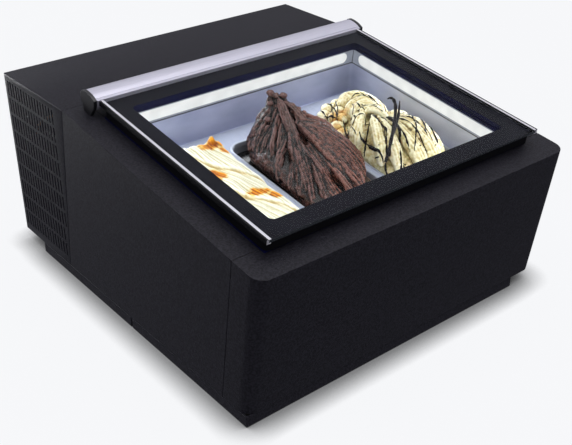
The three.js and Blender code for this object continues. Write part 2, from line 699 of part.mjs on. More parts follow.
// ---------------------------------------------------------------- assembly
add(freezer, 'base_pan', basePan(), galvanised);
for (const [name, x, y] of [
  ['foot_front_left', -272, -270], ['foot_front_right', 222, -270],
  ['foot_rear_left', -272, 240], ['foot_rear_right', 222, 240],
]) {
  add(freezer, name, foot(x, y), rubber);
}
add(freezer, 'plinth_front', plinthFront(), blackPaint);
add(freezer, 'plinth_left', plinthRail(-halfWidth, PLINTH_JOINT_Y + 4, PLINTH_REAR_Y), blackPaint);
add(freezer, 'plinth_right', plinthRail(PLINTH_RIGHT - PLINTH_WALL, -262, PLINTH_REAR_Y), blackPaint);
add(freezer, 'front_panel', frontPanel(), blackPaint);
add(freezer, 'left_side_panel', sidePanel(1), blackPaint);
add(freezer, 'right_side_panel', sidePanel(-1), blackPaint);
add(freezer, 'rear_housing', rearHousing(), blackPaint);
add(freezer, 'rear_service_panel', rearServicePanel(), blackPaint);
add(freezer, 'insulation_foam', insulationFoam(), foam);

add(deck, 'hinge_rail', hingeRail(), blackPaint);
add(deck, 'inner_liner', innerLiner(), linerMetal);
add(deck, 'collar_frame', collarFrame(), navyPlastic);
const stripIn = WELL_X;
const stripOut = WELL_X + 4;
add(deck, 'light_strip_left', lightStrip(-stripOut, -stripIn, WELL_FRONT, WELL_REAR), diffuser);
add(deck, 'light_strip_right', lightStrip(stripIn, stripOut, WELL_FRONT, WELL_REAR), diffuser);
const frontStrip = lightStrip(-stripIn, stripIn, WELL_FRONT - 4 - GAP, WELL_FRONT - GAP);
const rearStrip = lightStrip(-stripIn, stripIn, WELL_REAR + GAP, WELL_REAR + 4 + GAP);
add(deck, 'light_strip_front', frontStrip, diffuser);
add(deck, 'light_strip_rear', rearStrip, diffuser);
add(deck, 'evaporator_coil', evaporatorCoil(), copper);
add(deck, 'pan_frame', panFrame(), stainless);

const flavours = [
  ['left', -PAN_PITCH, creamIce, 22, [0.1, -0.3], [1.1, 0.9]],
  ['middle', 0, chocolateIce, 82, [0.02, 0.78], [0.7, 0.6]],
  ['right', PAN_PITCH, straccIce, 58, [0, 0.3], [0.9, 0.8]],
];
for (const [name, x, material, peak, centre, spread] of flavours) {
  const place = new THREE.Group();
  place.position.set(x, panCentreS, 0);
  deck.add(place);
  add(place, `pan_${name}`, pan(), stainless);
  add(place, `gelato_${name}`, iceCream(peak, centre, spread), material);
}

add(lid, 'lid_glass', lidGlass(), glass);
add(lid, 'lid_frame', lidFrame(), blackPlastic);
add(lid, 'lid_gasket', lidGasket(), rubber);
add(lid, 'lid_trim_left', lidTrim(-1), anodised);
add(lid, 'lid_trim_right', lidTrim(1), anodised);
add(lid, 'hinge_bar', hingeBar(), anodised);
for (const [name, side] of [['left', -1], ['right', 1]]) {
  add(deck, `hinge_bracket_${name}`, hingeBracket(side), blackPlastic);
  add(deck, `hinge_pin_${name}`, hingePin(side), pinSteel);
}

add(freezer, 'compressor', compressorCan(), compressorPaint);
add(freezer, 'compressor_base', compressorBase(), galvanised);
add(freezer, 'start_relay', box(COMPRESSOR_X + 66, COMPRESSOR_X + 96, 240, 284, 84, 128), controlPlastic);
add(freezer, 'condenser', condenser(), finMetal);
add(freezer, 'fan_shroud', fanShroud(), galvanised);
add(freezer, 'fan_bracket', fanBracket(), galvanised);
add(freezer, 'fan_motor', fanMotor(), controlPlastic);
add(freezer, 'fan_blade', fanBlade(), fanPlastic);
add(freezer, 'filter_drier', filterDrier(), copper);
add(freezer, 'discharge_pipe', tube([
  [20, 262, 206], [-30, 262, 222], [-110, 240, 232], [-200, 220, 232], [-256, 216, 232], [-281, 216, 230],
  [-284, 216, 217.5],
], 3, 16, 6), copper);
add(freezer, 'liquid_line', tube([
  [-284, 326, 217.5], [-280, 328, 230], [-250, 336, 238], [-200, 340, 234], [-150, 330, 216],
  [-132, 303, 196], [-130, 300, 171],
], 3, 16, 6), copper);
add(freezer, 'suction_pipe', tube([
  [150, 172, 120], [156, 186, 150], [140, 196, 206], [104, 226, 226], [88, 262, 222], [84, 262, 199],
], 4, 16, 6), copper);
add(freezer, 'led_driver', box(196, 262, 236, 300, BASE_Z + 2.2, BASE_Z + 34), controlPlastic);

add(freezer, 'controller', controller(), controlPlastic);
for (const [name, offset] of Object.entries(BUTTON_OFFSETS)) {
  add(freezer, name, pushButton(offset), buttonRubber);
}
add(freezer, 'switch_housing', switchHousing(), controlPlastic);
add(freezer, 'power_rocker', rocker(-9.5), blackPlastic);
add(freezer, 'light_rocker', rocker(9.5), blackPlastic);
add(freezer, 'power_inlet', powerInlet(), controlPlastic);

export default freezer;
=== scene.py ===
import json
import math
import random

import bmesh
import bpy
import numpy as np
from mathutils import Matrix, Vector, noise
from mathutils.bvhtree import BVHTree


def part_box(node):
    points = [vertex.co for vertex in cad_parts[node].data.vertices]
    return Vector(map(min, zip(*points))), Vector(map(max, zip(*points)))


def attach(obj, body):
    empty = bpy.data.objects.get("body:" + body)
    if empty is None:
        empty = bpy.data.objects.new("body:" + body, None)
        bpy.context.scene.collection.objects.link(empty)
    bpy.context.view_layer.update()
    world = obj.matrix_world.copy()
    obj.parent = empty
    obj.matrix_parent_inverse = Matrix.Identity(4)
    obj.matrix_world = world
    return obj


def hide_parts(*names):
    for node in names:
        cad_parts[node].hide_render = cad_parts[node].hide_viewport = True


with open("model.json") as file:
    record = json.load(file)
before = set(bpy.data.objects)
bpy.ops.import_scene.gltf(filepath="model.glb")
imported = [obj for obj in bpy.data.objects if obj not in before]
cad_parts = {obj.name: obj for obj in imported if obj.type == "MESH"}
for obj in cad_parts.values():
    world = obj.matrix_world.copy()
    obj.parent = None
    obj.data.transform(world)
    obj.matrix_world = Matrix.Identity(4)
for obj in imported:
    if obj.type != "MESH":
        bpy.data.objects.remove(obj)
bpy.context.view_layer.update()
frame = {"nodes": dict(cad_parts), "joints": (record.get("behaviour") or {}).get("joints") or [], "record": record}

# ---------------------------------------------------------------- the deck's own coordinates
# Millimetres: x across, s up the slope from the front top edge, h square to the slope.
MM = 0.001
HINGE_S, HINGE_H = 485, 20
joints = {joint["name"]: joint for joint in frame["joints"]}
UP = Vector(joints["pan_left_lift"]["axis"]).normalized()
ALONG = Vector((0, UP.z, -UP.y))
ACROSS = Vector((1, 0, 0))
ORIGIN = Vector(joints["lid_hinge"]["pos_m"]) - MM * (HINGE_S * ALONG + HINGE_H * UP)
FRAME_MM = Matrix.Scale(MM, 4)
DECK = Matrix.Translation(ORIGIN) @ Matrix((ACROSS, ALONG, UP)).transposed().to_4x4() @ FRAME_MM

record = frame["record"]
slot_of = {part["node"]: part["material_slot"] for part in record["subparts"]}
body_of = {node: body for body, nodes in record["behaviour"]["bodies"].items() for node in nodes}


# ---------------------------------------------------------------- materials
class Shader:
    """A Principled material whose pattern comes from the object's own coordinates, in metres."""

    def __init__(self, name, colour, roughness, metallic=0.0, **sockets):
        self.material = bpy.data.materials.new(name)
        self.material.use_nodes = True
        self.nodes = self.material.node_tree.nodes
        self.links = self.material.node_tree.links
        self.surface = self.nodes["Principled BSDF"]
        self.set("Base Color", (*colour, 1))
        self.set("Roughness", roughness)
        self.set("Metallic", metallic)
        for socket, value in sockets.items():
            self.set(socket.replace("_", " "), value)
        self.place = self.nodes.new("ShaderNodeTexCoord").outputs["Object"]
        self.relief = None

    def set(self, socket, value):
        self.surface.inputs[socket].default_value = value

    def grain(self, size, stretch=(1, 1, 1), detail=3, kind="NOISE", distortion=0.0):
        """Noise with features about size metres across, drawn out along an axis by stretch."""
        mapping = self.nodes.new("ShaderNodeMapping")
        mapping.inputs["Scale"].default_value = [1 / (size * factor) for factor in stretch]
        self.links.new(self.place, mapping.inputs["Vector"])
        if kind == "VORONOI":
            texture = self.nodes.new("ShaderNodeTexVoronoi")
            texture.inputs["Scale"].default_value = 1
            output = texture.outputs["Distance"]
        else:
            texture = self.nodes.new("ShaderNodeTexNoise")
            texture.inputs["Scale"].default_value = 1
            texture.inputs["Detail"].default_value = detail
            texture.inputs["Distortion"].default_value = distortion
            output = texture.outputs["Fac"]
        self.links.new(mapping.outputs["Vector"], texture.inputs["Vector"])
        return output

    def ramp(self, pattern, stops):
        """A colour for each value of the pattern; each stop is a place and a colour."""
        ramp = self.nodes.new("ShaderNodeValToRGB")
        elements = ramp.color_ramp.elements
        while len(elements) < len(stops):
            elements.new(0.5)
        for element, (position, colour) in zip(elements, stops):
            element.position = position
            element.color = (*colour, 1)
        self.links.new(pattern, ramp.inputs["Fac"])
        return ramp.outputs["Color"]

    def tint(self, pattern, stops):
        colour = self.ramp(pattern, stops)
        self.links.new(colour, self.surface.inputs["Base Color"])
        return colour

    def mask(self, name):
        """A vertex attribute of the piece that wears this material."""
        attribute = self.nodes.new("ShaderNodeAttribute")
        attribute.attribute_name = name
        return attribute.outputs["Fac"]

    def paint_over(self, base, mask, stops):
        """Lays a second colour, ramped from crease to ridge with painted shade in the creases, over the base where
        the mask is 1.
        """
        over = self.ramp(self.mask("ridge"), stops)
        mix = self.nodes.new("ShaderNodeMix")
        mix.data_type = "RGBA"
        sockets = {socket.identifier: socket for socket in [*mix.inputs, *mix.outputs]}
        self.links.new(mask, sockets["Factor_Float"])
        self.links.new(base, sockets["A_Color"])
        self.links.new(over, sockets["B_Color"])
        self.links.new(sockets["Result_Color"], self.surface.inputs["Base Color"])
        return sockets["Result_Color"]

    def vary(self, pattern, socket, low, high):
        spread = self.nodes.new("ShaderNodeMapRange")
        spread.inputs["From Min"].default_value = 0.3
        spread.inputs["From Max"].default_value = 0.7
        spread.inputs["To Min"].default_value = low
        spread.inputs["To Max"].default_value = high
        self.links.new(pattern, spread.inputs["Value"])
        self.links.new(spread.outputs["Result"], self.surface.inputs[socket])

    def bump(self, pattern, height, strength=1.0):
        """Raises the surface by up to height metres; a second call adds to the first."""
        node = self.nodes.new("ShaderNodeBump")
        node.inputs["Strength"].default_value = strength
        node.inputs["Distance"].default_value = height
        self.links.new(pattern, node.inputs["Height"])
        if self.relief:
            self.links.new(self.relief, node.inputs["Normal"])
        self.relief = node.outputs["Normal"]
        self.links.new(self.relief, self.surface.inputs["Normal"])

    def wear(self, pattern, stops=None, roughness=None, relief=None):
        """One pattern in the colour, the roughness and the relief, each where it is given."""
        if stops:
            self.tint(pattern, stops)
        if roughness:
            self.vary(pattern, "Roughness", *roughness)
        if relief:
            self.bump(pattern, *relief)
        return self.material


def powder_coat():
    paint = Shader("powder_coat", (0.012, 0.0115, 0.016), 0.5, Specular_IOR_Level=0.16)
    paint.wear(paint.grain(0.0013, detail=2), roughness=(0.44, 0.62), relief=(0.0005, 0.8))
    speckle = [(0.38, (0.0078, 0.0074, 0.0106)), (0.62, (0.0192, 0.0184, 0.0252))]
    return paint.wear(paint.grain(0.0032, detail=3), speckle, relief=(0.0006, 0.4))


def black_plastic():
    plastic = Shader("black_plastic", (0.009, 0.009, 0.011), 0.35)
    return plastic.wear(plastic.grain(0.0009), roughness=(0.3, 0.42), relief=(0.0001, 0.25))


def matte_black():
    plastic = Shader("matte_black", (0.0035, 0.0035, 0.0045), 0.6, Specular_IOR_Level=0.12)
    stops = [(0.3, (0.0028, 0.0028, 0.0038)), (0.7, (0.0044, 0.0044, 0.0058))]
    return plastic.wear(plastic.grain(0.0012), stops)


def textured_plastic():
    plastic = Shader("textured_plastic", (0.02, 0.02, 0.023), 0.5)
    return plastic.wear(plastic.grain(0.0007, kind="VORONOI"), relief=(0.0002, 0.35))


# Black plastic tinted navy: the navy is the lamps' blue glow on it, painted into the colour.
def navy_plastic():
    plastic = Shader("navy_plastic", (0.007, 0.009, 0.05), 0.45, Specular_IOR_Level=0.04)
    stops = [(0.35, (0.005, 0.006, 0.034)), (0.7, (0.009, 0.011, 0.062))]
    return plastic.wear(plastic.grain(0.004, stretch=(6, 6, 1)), stops, (0.3, 0.45))


def rubber():
    mat = Shader("rubber", (0.012, 0.012, 0.012), 0.8)
    return mat.wear(mat.grain(0.0012), roughness=(0.7, 0.9), relief=(0.0002, 0.4))


def anodised_aluminium():
    metal = Shader("anodised_aluminium", (0.56, 0.55, 0.64), 0.4, 0.6)
    metal.wear(metal.grain(0.0006), relief=(0.00008, 0.3))
    stops = [(0.3, (0.51, 0.50, 0.59)), (0.7, (0.60, 0.59, 0.68))]
    return metal.wear(metal.grain(0.0008, stretch=(60, 1, 1)), stops, (0.30, 0.44))


def trim_aluminium():
    metal = Shader("trim_aluminium", (0.7, 0.69, 0.75), 0.36, 0.6)
    stops = [(0.3, (0.62, 0.61, 0.67)), (0.7, (0.76, 0.75, 0.80))]
    return metal.wear(metal.grain(0.0008, stretch=(1, 60, 8)), stops, (0.28, 0.42))


def stainless_steel():
    metal = Shader("stainless_steel", (0.36, 0.39, 0.46), 0.36, 0.7)
    stops = [(0.3, (0.32, 0.35, 0.42)), (0.7, (0.40, 0.43, 0.50))]
    return metal.wear(metal.grain(0.0006, stretch=(1, 60, 3)), stops, (0.3, 0.42))


def shelf_steel():
    metal = Shader("shelf_steel", (0.33, 0.36, 0.46), 0.55, 0.2, Specular_IOR_Level=0.3)
    stops = [(0.3, (0.29, 0.32, 0.42)), (0.7, (0.37, 0.40, 0.50))]
    return metal.wear(metal.grain(0.0012, stretch=(1, 30, 3)), stops, (0.48, 0.62))


def liner_steel():
    metal = Shader("liner_steel", (0.46, 0.49, 0.66), 0.45, 0.3)
    metal.wear(metal.grain(0.0012), relief=(0.0001, 0.3))
    frost = [(0.3, (0.38, 0.41, 0.57)), (0.7, (0.52, 0.55, 0.72))]
    return metal.wear(metal.grain(0.03, stretch=(2.2, 2.2, 1), detail=5), frost, (0.38, 0.56))


def galvanised_steel():
    metal = Shader("galvanised_steel", (0.42, 0.44, 0.46), 0.42, 0.85)
    spangle = [(0.1, (0.34, 0.36, 0.38)), (0.8, (0.52, 0.54, 0.56))]
    return metal.wear(metal.grain(0.009, kind="VORONOI"), spangle, (0.32, 0.5))


def pin_steel():
    metal = Shader("pin_steel", (0.6, 0.6, 0.62), 0.2, 1.0)
    return metal.wear(metal.grain(0.0005, stretch=(1, 20, 20)), None, (0.14, 0.28), (0.00003, 0.4))


def copper():
    metal = Shader("copper", (0.62, 0.28, 0.14), 0.3, 1.0)
    tarnish = [(0.3, (0.42, 0.17, 0.08)), (0.7, (0.75, 0.38, 0.21))]
    return metal.wear(metal.grain(0.012, detail=5), tarnish, (0.22, 0.42))


def black_enamel():
    paint = Shader("black_enamel", (0.01, 0.01, 0.011), 0.28, Coat_Weight=0.5)
    return paint.wear(paint.grain(0.003), None, (0.22, 0.36), (0.0002, 0.25))


def fin_aluminium():
    """Condenser fins under a thin black coat, made near black also as painted shade for the dark inside of the
    housing.
    """
    metal = Shader("fin_aluminium", (0.02, 0.021, 0.024), 0.5, 0.2)
    stops = [(0.3, (0.012, 0.012, 0.014)), (0.7, (0.028, 0.029, 0.033))]
    return metal.wear(metal.grain(0.003, stretch=(1, 1, 8)), stops, (0.32, 0.5))


def foam():
    mat = Shader("foam", (0.72, 0.62, 0.36), 0.9)
    cells = [(0.0, (0.5, 0.4, 0.2)), (0.6, (0.78, 0.68, 0.42))]
    return mat.wear(mat.grain(0.0025, kind="VORONOI"), cells, relief=(0.0008, 0.6))


def fan_plastic():
    plastic = Shader("fan_plastic", (0.02, 0.02, 0.022), 0.45)
    return plastic.wear(plastic.grain(0.002), roughness=(0.38, 0.55))


def button_rubber():
    mat = Shader("button_rubber", (0.09, 0.095, 0.11), 0.6)
    return mat.wear(mat.grain(0.0006), None, (0.52, 0.7), (0.00008, 0.4))


def clear_glass():
    glass = Shader("clear_glass", (0.97, 0.985, 0.985), 0.0, Transmission_Weight=1.0, IOR=1.045)
    streaks = [(0.3, (0.955, 0.97, 0.975)), (0.7, (0.985, 0.99, 0.99))]
    return glass.wear(glass.grain(0.09, detail=2), streaks)


def ground_edge():
    glass = Shader("ground_edge", (0.03, 0.034, 0.04), 0.25)
    stops = [(0.3, (0.022, 0.025, 0.03)), (0.7, (0.042, 0.047, 0.054))]
    return glass.wear(glass.grain(0.001), stops, (0.16, 0.34))


def printed_black():
    ink = Shader("printed_black", (0.011, 0.011, 0.015), 0.4, Specular_IOR_Level=0.01)
    stops = [(0.3, (0.0100, 0.0101, 0.0138)), (0.7, (0.0132, 0.0134, 0.0184))]
    return ink.wear(ink.grain(0.0009), stops)


def lit_diffuser(name, colour, strength):
    """An opal lens over lamps, brightest where the lamps sit behind it."""
    lens = Shader(name, (0.12, 0.12, 0.13), 0.4, Specular_IOR_Level=0.2)
    lamps = lens.grain(0.02, detail=0)
    lens.tint(lamps, [(0.3, (0.10, 0.105, 0.11)), (0.7, (0.14, 0.145, 0.15))])
    lens.set("Emission Color", (*colour, 1))
    lens.vary(lamps, "Emission Strength", strength * 0.97, strength * 1.03)
    return lens.material


materials = {
    "black_powder_coat": powder_coat(),
    "black_plastic": black_plastic(),
    "navy_plastic": navy_plastic(),
    "rubber": rubber(),
    "anodised_aluminium": anodised_aluminium(),
    "stainless_steel": stainless_steel(),
    "liner_steel": liner_steel(),
    "galvanised_steel": galvanised_steel(),
    "pin_steel": pin_steel(),
    "tempered_glass": clear_glass(),
    "light_diffuser": lit_diffuser("corner_diffuser", (0.72, 0.80, 1.0), 0.22),
    "insulation_foam": foam(),
    "copper": copper(),
    "compressor_paint": black_enamel(),
    "fin_aluminium": fin_aluminium(),
    "fan_plastic": fan_plastic(),
    "motor_paint": black_enamel(),
    "control_plastic": textured_plastic(),
    "button_rubber": button_rubber(),
    "rocker_plastic": black_plastic(),
}
PRINT = printed_black()
TRIM = trim_aluminium()
EDGE = ground_edge()
LAMP = lit_diffuser("lamp_window", (0.99, 1.0, 0.99), 0.76)
# Frame faces inside the lit window: black plastic with the lamps' glow painted in as navy.
LAMP_GLOW_NAVY = navy_plastic()
OUTER_BLACK = matte_black()


# ---------------------------------------------------------------- pieces
def add_piece(name, mesh, material, body, stands_for=(), smooth_angle=35):
    piece = bpy.data.objects.new(name, mesh)
    bpy.context.scene.collection.objects.link(piece)
    if material:
        mesh.materials.clear()
        mesh.materials.append(material)
    mesh.shade_smooth()
    mesh.set_sharp_from_angle(angle=math.radians(smooth_angle))
    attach(piece, body)
    if stands_for:
        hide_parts(*stands_for)
    return piece


def add_bevel(piece, width_mm, segments=3, angle=28):
    bevel = piece.modifiers.new("edge", "BEVEL")
    bevel.width = width_mm * MM
    bevel.segments = segments
    bevel.limit_method = "ANGLE"
    bevel.angle_limit = math.radians(angle)
    bevel.harden_normals = True
    return bevel


def mesh_from(bm, name, place=None):
    bmesh.ops.recalc_face_normals(bm, faces=bm.faces)
    mesh = bpy.data.meshes.new(name)
    bm.to_mesh(mesh)
    bm.free()
    if place:
        mesh.transform(place)
    return mesh


def clean_copy(node):
    """A CAD node's mesh with its flat faces whole again, ready for bevelled edges."""
    bm = bmesh.new()
    bm.from_mesh(frame["nodes"][node].data)
    bmesh.ops.remove_doubles(bm, verts=bm.verts, dist=1e-6)
    bmesh.ops.dissolve_limit(bm, angle_limit=math.radians(0.5), verts=bm.verts, edges=bm.edges)
    return mesh_from(bm, node + "_mesh")


def refine(node, bevel_mm, segments=3, material=None, angle=28):
    """Stands a bevelled copy in for a CAD node."""
    slot = slot_of[node]
    piece = add_piece(node + "_finished", clean_copy(node), material or materials[slot],
                      body_of[node], (node,))
    add_bevel(piece, bevel_mm, segments, angle)
    return piece


def rounded_outline(x0, x1, y0, y1, radius, steps=8):
    """Points anticlockwise round a rectangle with round corners."""
    points = []
    for quarter, (cx, cy) in enumerate([(x1 - radius, y0 + radius), (x1 - radius, y1 - radius),
                                        (x0 + radius, y1 - radius), (x0 + radius, y0 + radius)]):
        for step in range(steps + 1):
            angle = (quarter - 1 + step / steps) * math.pi / 2
            points.append((cx + radius * math.cos(angle), cy + radius * math.sin(angle)))
    return points


def bridge(bm, lower, upper):
    count = len(lower)
    for i in range(count):
        bm.faces.new((lower[i], lower[(i + 1) % count], upper[(i + 1) % count], upper[i]))


def loft(rings, closed_loop=False):
    """A surface through rings of equal length; the ends are capped, or joined in a loop."""
    bm = bmesh.new()
    loops = [[bm.verts.new(point) for point in ring] for ring in rings]
    for lower, upper in zip(loops, loops[1:]):
        bridge(bm, lower, upper)
    if closed_loop:
        bridge(bm, loops[-1], loops[0])
    else:
        bm.faces.new(loops[0][::-1])
        bm.faces.new(loops[-1])
    return bm


def prism(outline, axis, start, end):
    """An outline drawn in the other two axes, extruded along x, y or z."""
    def point(a, b, along):
        return {"x": (along, a, b), "y": (a, along, b), "z": (a, b, along)}[axis]
    return loft([[point(a, b, along) for a, b in outline] for along in (start, end)])


def ring_plate(outer, inner, low, high):
    """A flat plate with an opening; both outlines have the same number of points."""
    rings = [[(x, y, low) for x, y in outer], [(x, y, high) for x, y in outer],
             [(x, y, high) for x, y in inner], [(x, y, low) for x, y in inner]]
    return loft(rings, closed_loop=True)


def joined(parts):
    bm = bmesh.new()
    for part in parts:
        scratch = bpy.data.meshes.new("scratch")
        part.to_mesh(scratch)
        part.free()
        bm.from_mesh(scratch)
        bpy.data.meshes.remove(scratch)
    return bm


# ---------------------------------------------------------------- cabinet
SLOT_COLUMNS, SLOT_ROWS = 17, 9
SLOT_PITCH_Y, SLOT_PITCH_Z = 10.15, 32
SLOT_FIRST_Y, SLOT_TOP_DROP = 186, 11
SLOT_WIDTH, SLOT_HEIGHT = 4, 27
SEAM_CLEARANCE = 3
WALL_INSIDE, WALL_OUTSIDE = 310, 320
SHEET = 1.5


def slot_cutters(side, front_at, top):
    """Round-ended cutters through one side wall, clear of the leaning front edge."""
    low, high = sorted((side * WALL_INSIDE, side * WALL_OUTSIDE))
    cutters = []
    for column in range(SLOT_COLUMNS):
        for row in range(SLOT_ROWS):
            y = SLOT_FIRST_Y + column * SLOT_PITCH_Y
            z1 = top - SLOT_TOP_DROP - row * SLOT_PITCH_Z
            z0 = z1 - SLOT_HEIGHT
            if y - SLOT_WIDTH / 2 > front_at(z0) + SEAM_CLEARANCE:
                outline = rounded_outline(y - SLOT_WIDTH / 2, y + SLOT_WIDTH / 2, z0, z1,
                                          SLOT_WIDTH / 2 - 0.01, 4)
                cutters.append(prism(outline, "x", low, high))
    return cutters


def rear_housing():
    """The rear of the cabinet: a leaning front edge, an open inside and slots in both sides."""
    low, high = (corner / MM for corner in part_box("rear_housing"))
    lean = -UP.y / UP.z
    top_front_y = min(v.co.y for v in frame["nodes"]["rear_housing"].data.vertices
                      if v.co.z > high.z * MM - 0.0005) / MM

    def front_at(z):
        return top_front_y + lean * (high.z - z)

    side = [(front_at(low.z), low.z), (high.y, low.z), (high.y, high.z), (front_at(high.z), high.z)]
    shell = prism(side, "x", low.x, high.x)
    piece = add_piece("rear_housing_shell", mesh_from(shell, "housing", FRAME_MM),
                      materials["black_powder_coat"], "cabinet", ("rear_housing",))
    add_bevel(piece, 1.6, 4)
    inside = [(low.y - 60, low.z - 40), (high.y + 40, low.z - 40),
              (high.y + 40, high.z - SHEET), (low.y - 60, high.z - SHEET)]
    cutters = [prism(inside, "x", low.x + SHEET, high.x - SHEET)]
    cutters += slot_cutters(-1, front_at, high.z) + slot_cutters(1, front_at, high.z)
    tool = bpy.data.objects.new("cutter", mesh_from(joined(cutters), "cutter", FRAME_MM))
    bpy.context.scene.collection.objects.link(tool)
    cut = piece.modifiers.new("slots", "BOOLEAN")
    cut.object = tool
    cut.solver = "EXACT"
    cut.use_self = True
    bake_modifiers(piece, 35)
    bpy.data.objects.remove(tool)


def bake_modifiers(piece, smooth_angle):
    bpy.context.view_layer.update()
    result = piece.evaluated_get(bpy.context.evaluated_depsgraph_get())
    mesh = bpy.data.meshes.new_from_object(result)
    piece.modifiers.clear()
    piece.data = mesh
    mesh.shade_smooth()
    mesh.set_sharp_from_angle(angle=math.radians(smooth_angle))


def cabinet():
    refine("front_panel", 1.1, 4)
    for node in ("left_side_panel", "right_side_panel"):
        refine(node, 1.1, 4)
    rear_housing()
    for node in ("hinge_rail", "plinth_front", "plinth_left", "plinth_right"):
        refine(node, 0.5, 2)
    refine("rear_service_panel", 0.4, 2)
    refine("base_pan", 0.4, 2)


cabinet()


# ---------------------------------------------------------------- lid
WINDOW = (-238, 238, 75, 430)
WINDOW_RADIUS = 9
WINDOW_MIDDLE = Vector((0, (WINDOW[2] + WINDOW[3]) / 2, 0))
PRINT_OUTLINE = (-270.8, 270.8, 37.8, 467.2)
PRINT_LOW, PRINT_HIGH = 24.06, 24.22
TRIM_STRIP_OUTER = 273.5


def lid_glass():
    """The pane, clear through its faces and dark at its ground edges."""
    mesh = clean_copy("lid_glass")
    mesh.materials.clear()
    mesh.materials.append(materials["tempered_glass"])
    mesh.materials.append(EDGE)
    for polygon in mesh.polygons:
        polygon.material_index = 0 if abs(polygon.normal.dot(UP)) > 0.5 else 1
    piece = add_piece("lid_glass_pane", mesh, None, "lid", ("lid_glass",))
    add_bevel(piece, 0.35, 2)


def print_border():
    """The black border printed under the glass."""
    outer = rounded_outline(*PRINT_OUTLINE, 1.5)
    inner = rounded_outline(*WINDOW, WINDOW_RADIUS)
    bm = ring_plate(outer, inner, PRINT_LOW, PRINT_HIGH)
    add_piece("lid_print_border", mesh_from(bm, "print", DECK), PRINT, "lid")


def hinge_bar():
    """The satin bar behind the glass: a flat-fronted lip, a fine step and an arched back."""
    lip = [(462.6, 24.2), (462.6, 30.9), (463.0, 31.3), (467.2, 31.8), (467.6, 32.7)]
    arch = [(468, 32.9), (477, 35.3), (486.5, 36.2), (495, 35.6), (500.6, 33.2), (503.8, 28.8),
            (504.3, 22.8), (501.9, 16.4), (496, 11.2), (486, 8.5), (475, 9.2), (467.2, 13), (463.3, 19)]
    smooth_arch = spline([Vector((0, s, h)) for s, h in arch], 6)
    outline = lip + [(point.y, point.z) for point in smooth_arch]
    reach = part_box("hinge_bar")[1].x / MM
    piece = add_piece("hinge_bar_extrusion", mesh_from(prism(outline, "x", -reach, reach), "bar", DECK),
                      materials["anodised_aluminium"], "lid", ("hinge_bar",), 25)
    add_bevel(piece, 0.3, 2, 40)


def spline(points, per_span):
    """Catmull-Rom points through the given ones."""
    padded = [2 * points[0] - points[1], *points, 2 * points[-1] - points[-2]]
    result = []
    for i in range(1, len(padded) - 2):
        a, b, c, d = padded[i - 1:i + 3]
        for step in range(per_span):
            t = step / per_span
            result.append(0.5 * (2 * b + (c - a) * t + (2 * a - 5 * b + 4 * c - d) * t * t
                                 + (3 * b - a - 3 * c + d) * t ** 3))
    result.append(points[-1])
    return result


def lid_parts():
    """Faces that look out of the lid are black; those that look into the window are navy, the lamps' glow painted
    onto the black frame.
    """
    lid_glass()
    print_border()
    hinge_bar()
    surround = refine("lid_frame", 0.8, 3, LAMP_GLOW_NAVY)
    refine("lid_gasket", 0.4, 2, LAMP_GLOW_NAVY)
    surround.data.materials.append(OUTER_BLACK)
    for polygon in surround.data.polygons:
        out = DECK.inverted() @ polygon.center - WINDOW_MIDDLE
        out_across = polygon.normal.x * out.x > 0.5 * abs(out.x)
        out_along = polygon.normal.dot(ALONG) * out.y > 0.5 * abs(out.y)
        polygon.material_index = 1 if out_across or out_along else 0
    for side in ("left", "right"):
        trim = refine("lid_trim_" + side, 0.25, 2, TRIM)
        trim.data.materials.append(OUTER_BLACK)
        for polygon in trim.data.polygons:
            outboard = abs(polygon.center.x) / MM > TRIM_STRIP_OUTER or abs(polygon.normal.x) > 0.5
            polygon.material_index = 1 if outboard else 0
    for side in ("left", "right"):
        refine("hinge_bracket_" + side, 0.7, 3)


lid_parts()


# ---------------------------------------------------------------- lit well
WELL_X, WELL_FRONT, WELL_REAR = 260, 57, 454
LAMP_LOW, LAMP_HIGH = -32, -6
LENS_INSET, LENS_RADIUS, LENS_PROUD = 16, 9.9, 0.5


def lamp_windows():
    """Opal lenses with round ends, let into the four light strips just short of the corners."""
    for name, axis, wall, inward, start, end in (
        ("front", "y", WELL_FRONT - 0.3, 1, -WELL_X, WELL_X),
        ("rear", "y", WELL_REAR + 0.3, -1, -WELL_X, WELL_X),
        ("left", "x", -WELL_X, 1, WELL_FRONT, WELL_REAR),
        ("right", "x", WELL_X, -1, WELL_FRONT, WELL_REAR),
    ):
        outline = rounded_outline(start + LENS_INSET, end - LENS_INSET, LAMP_LOW + 4.4, LAMP_HIGH - 1.6,
                                  LENS_RADIUS, 10)
        bm = prism(outline, axis, wall, wall + inward * LENS_PROUD)
        add_piece(f"lamp_window_{name}", mesh_from(bm, "lens", DECK), LAMP, "cabinet")


def lamp_seams():
    """The thin black joints under the lamps and up the four corners of the lit band."""
    def band(inset, radius):
        half = WELL_X - inset
        return rounded_outline(-half, half, WELL_FRONT + inset, WELL_REAR - inset, radius)
    parts = [ring_plate(band(-0.4, 5.5), band(0.8, 4.5), LAMP_LOW - 0.5, LAMP_LOW + 0.6)]
    for x in (-WELL_X + 0.4, WELL_X - 0.4):
        for s in (WELL_FRONT + 0.4, WELL_REAR - 0.4):
            corner = rounded_outline(x - 0.45, x + 0.45, s - 0.45, s + 0.45, 0.2, 2)
            parts.append(prism(corner, "z", LAMP_LOW, LAMP_HIGH))
    mesh = mesh_from(joined(parts), "seams", DECK)
    add_piece("lamp_seams", mesh, materials["black_plastic"], "cabinet")


def well():
    lamp_windows()
    lamp_seams()
    refine("inner_liner", 2.5, 4)
    # The collar wears the same navy, painted lamp glow on black plastic.
    refine("collar_frame", 0.7, 3, LAMP_GLOW_NAVY)
    refine("pan_frame", 0.5, 2, shelf_steel())


well()


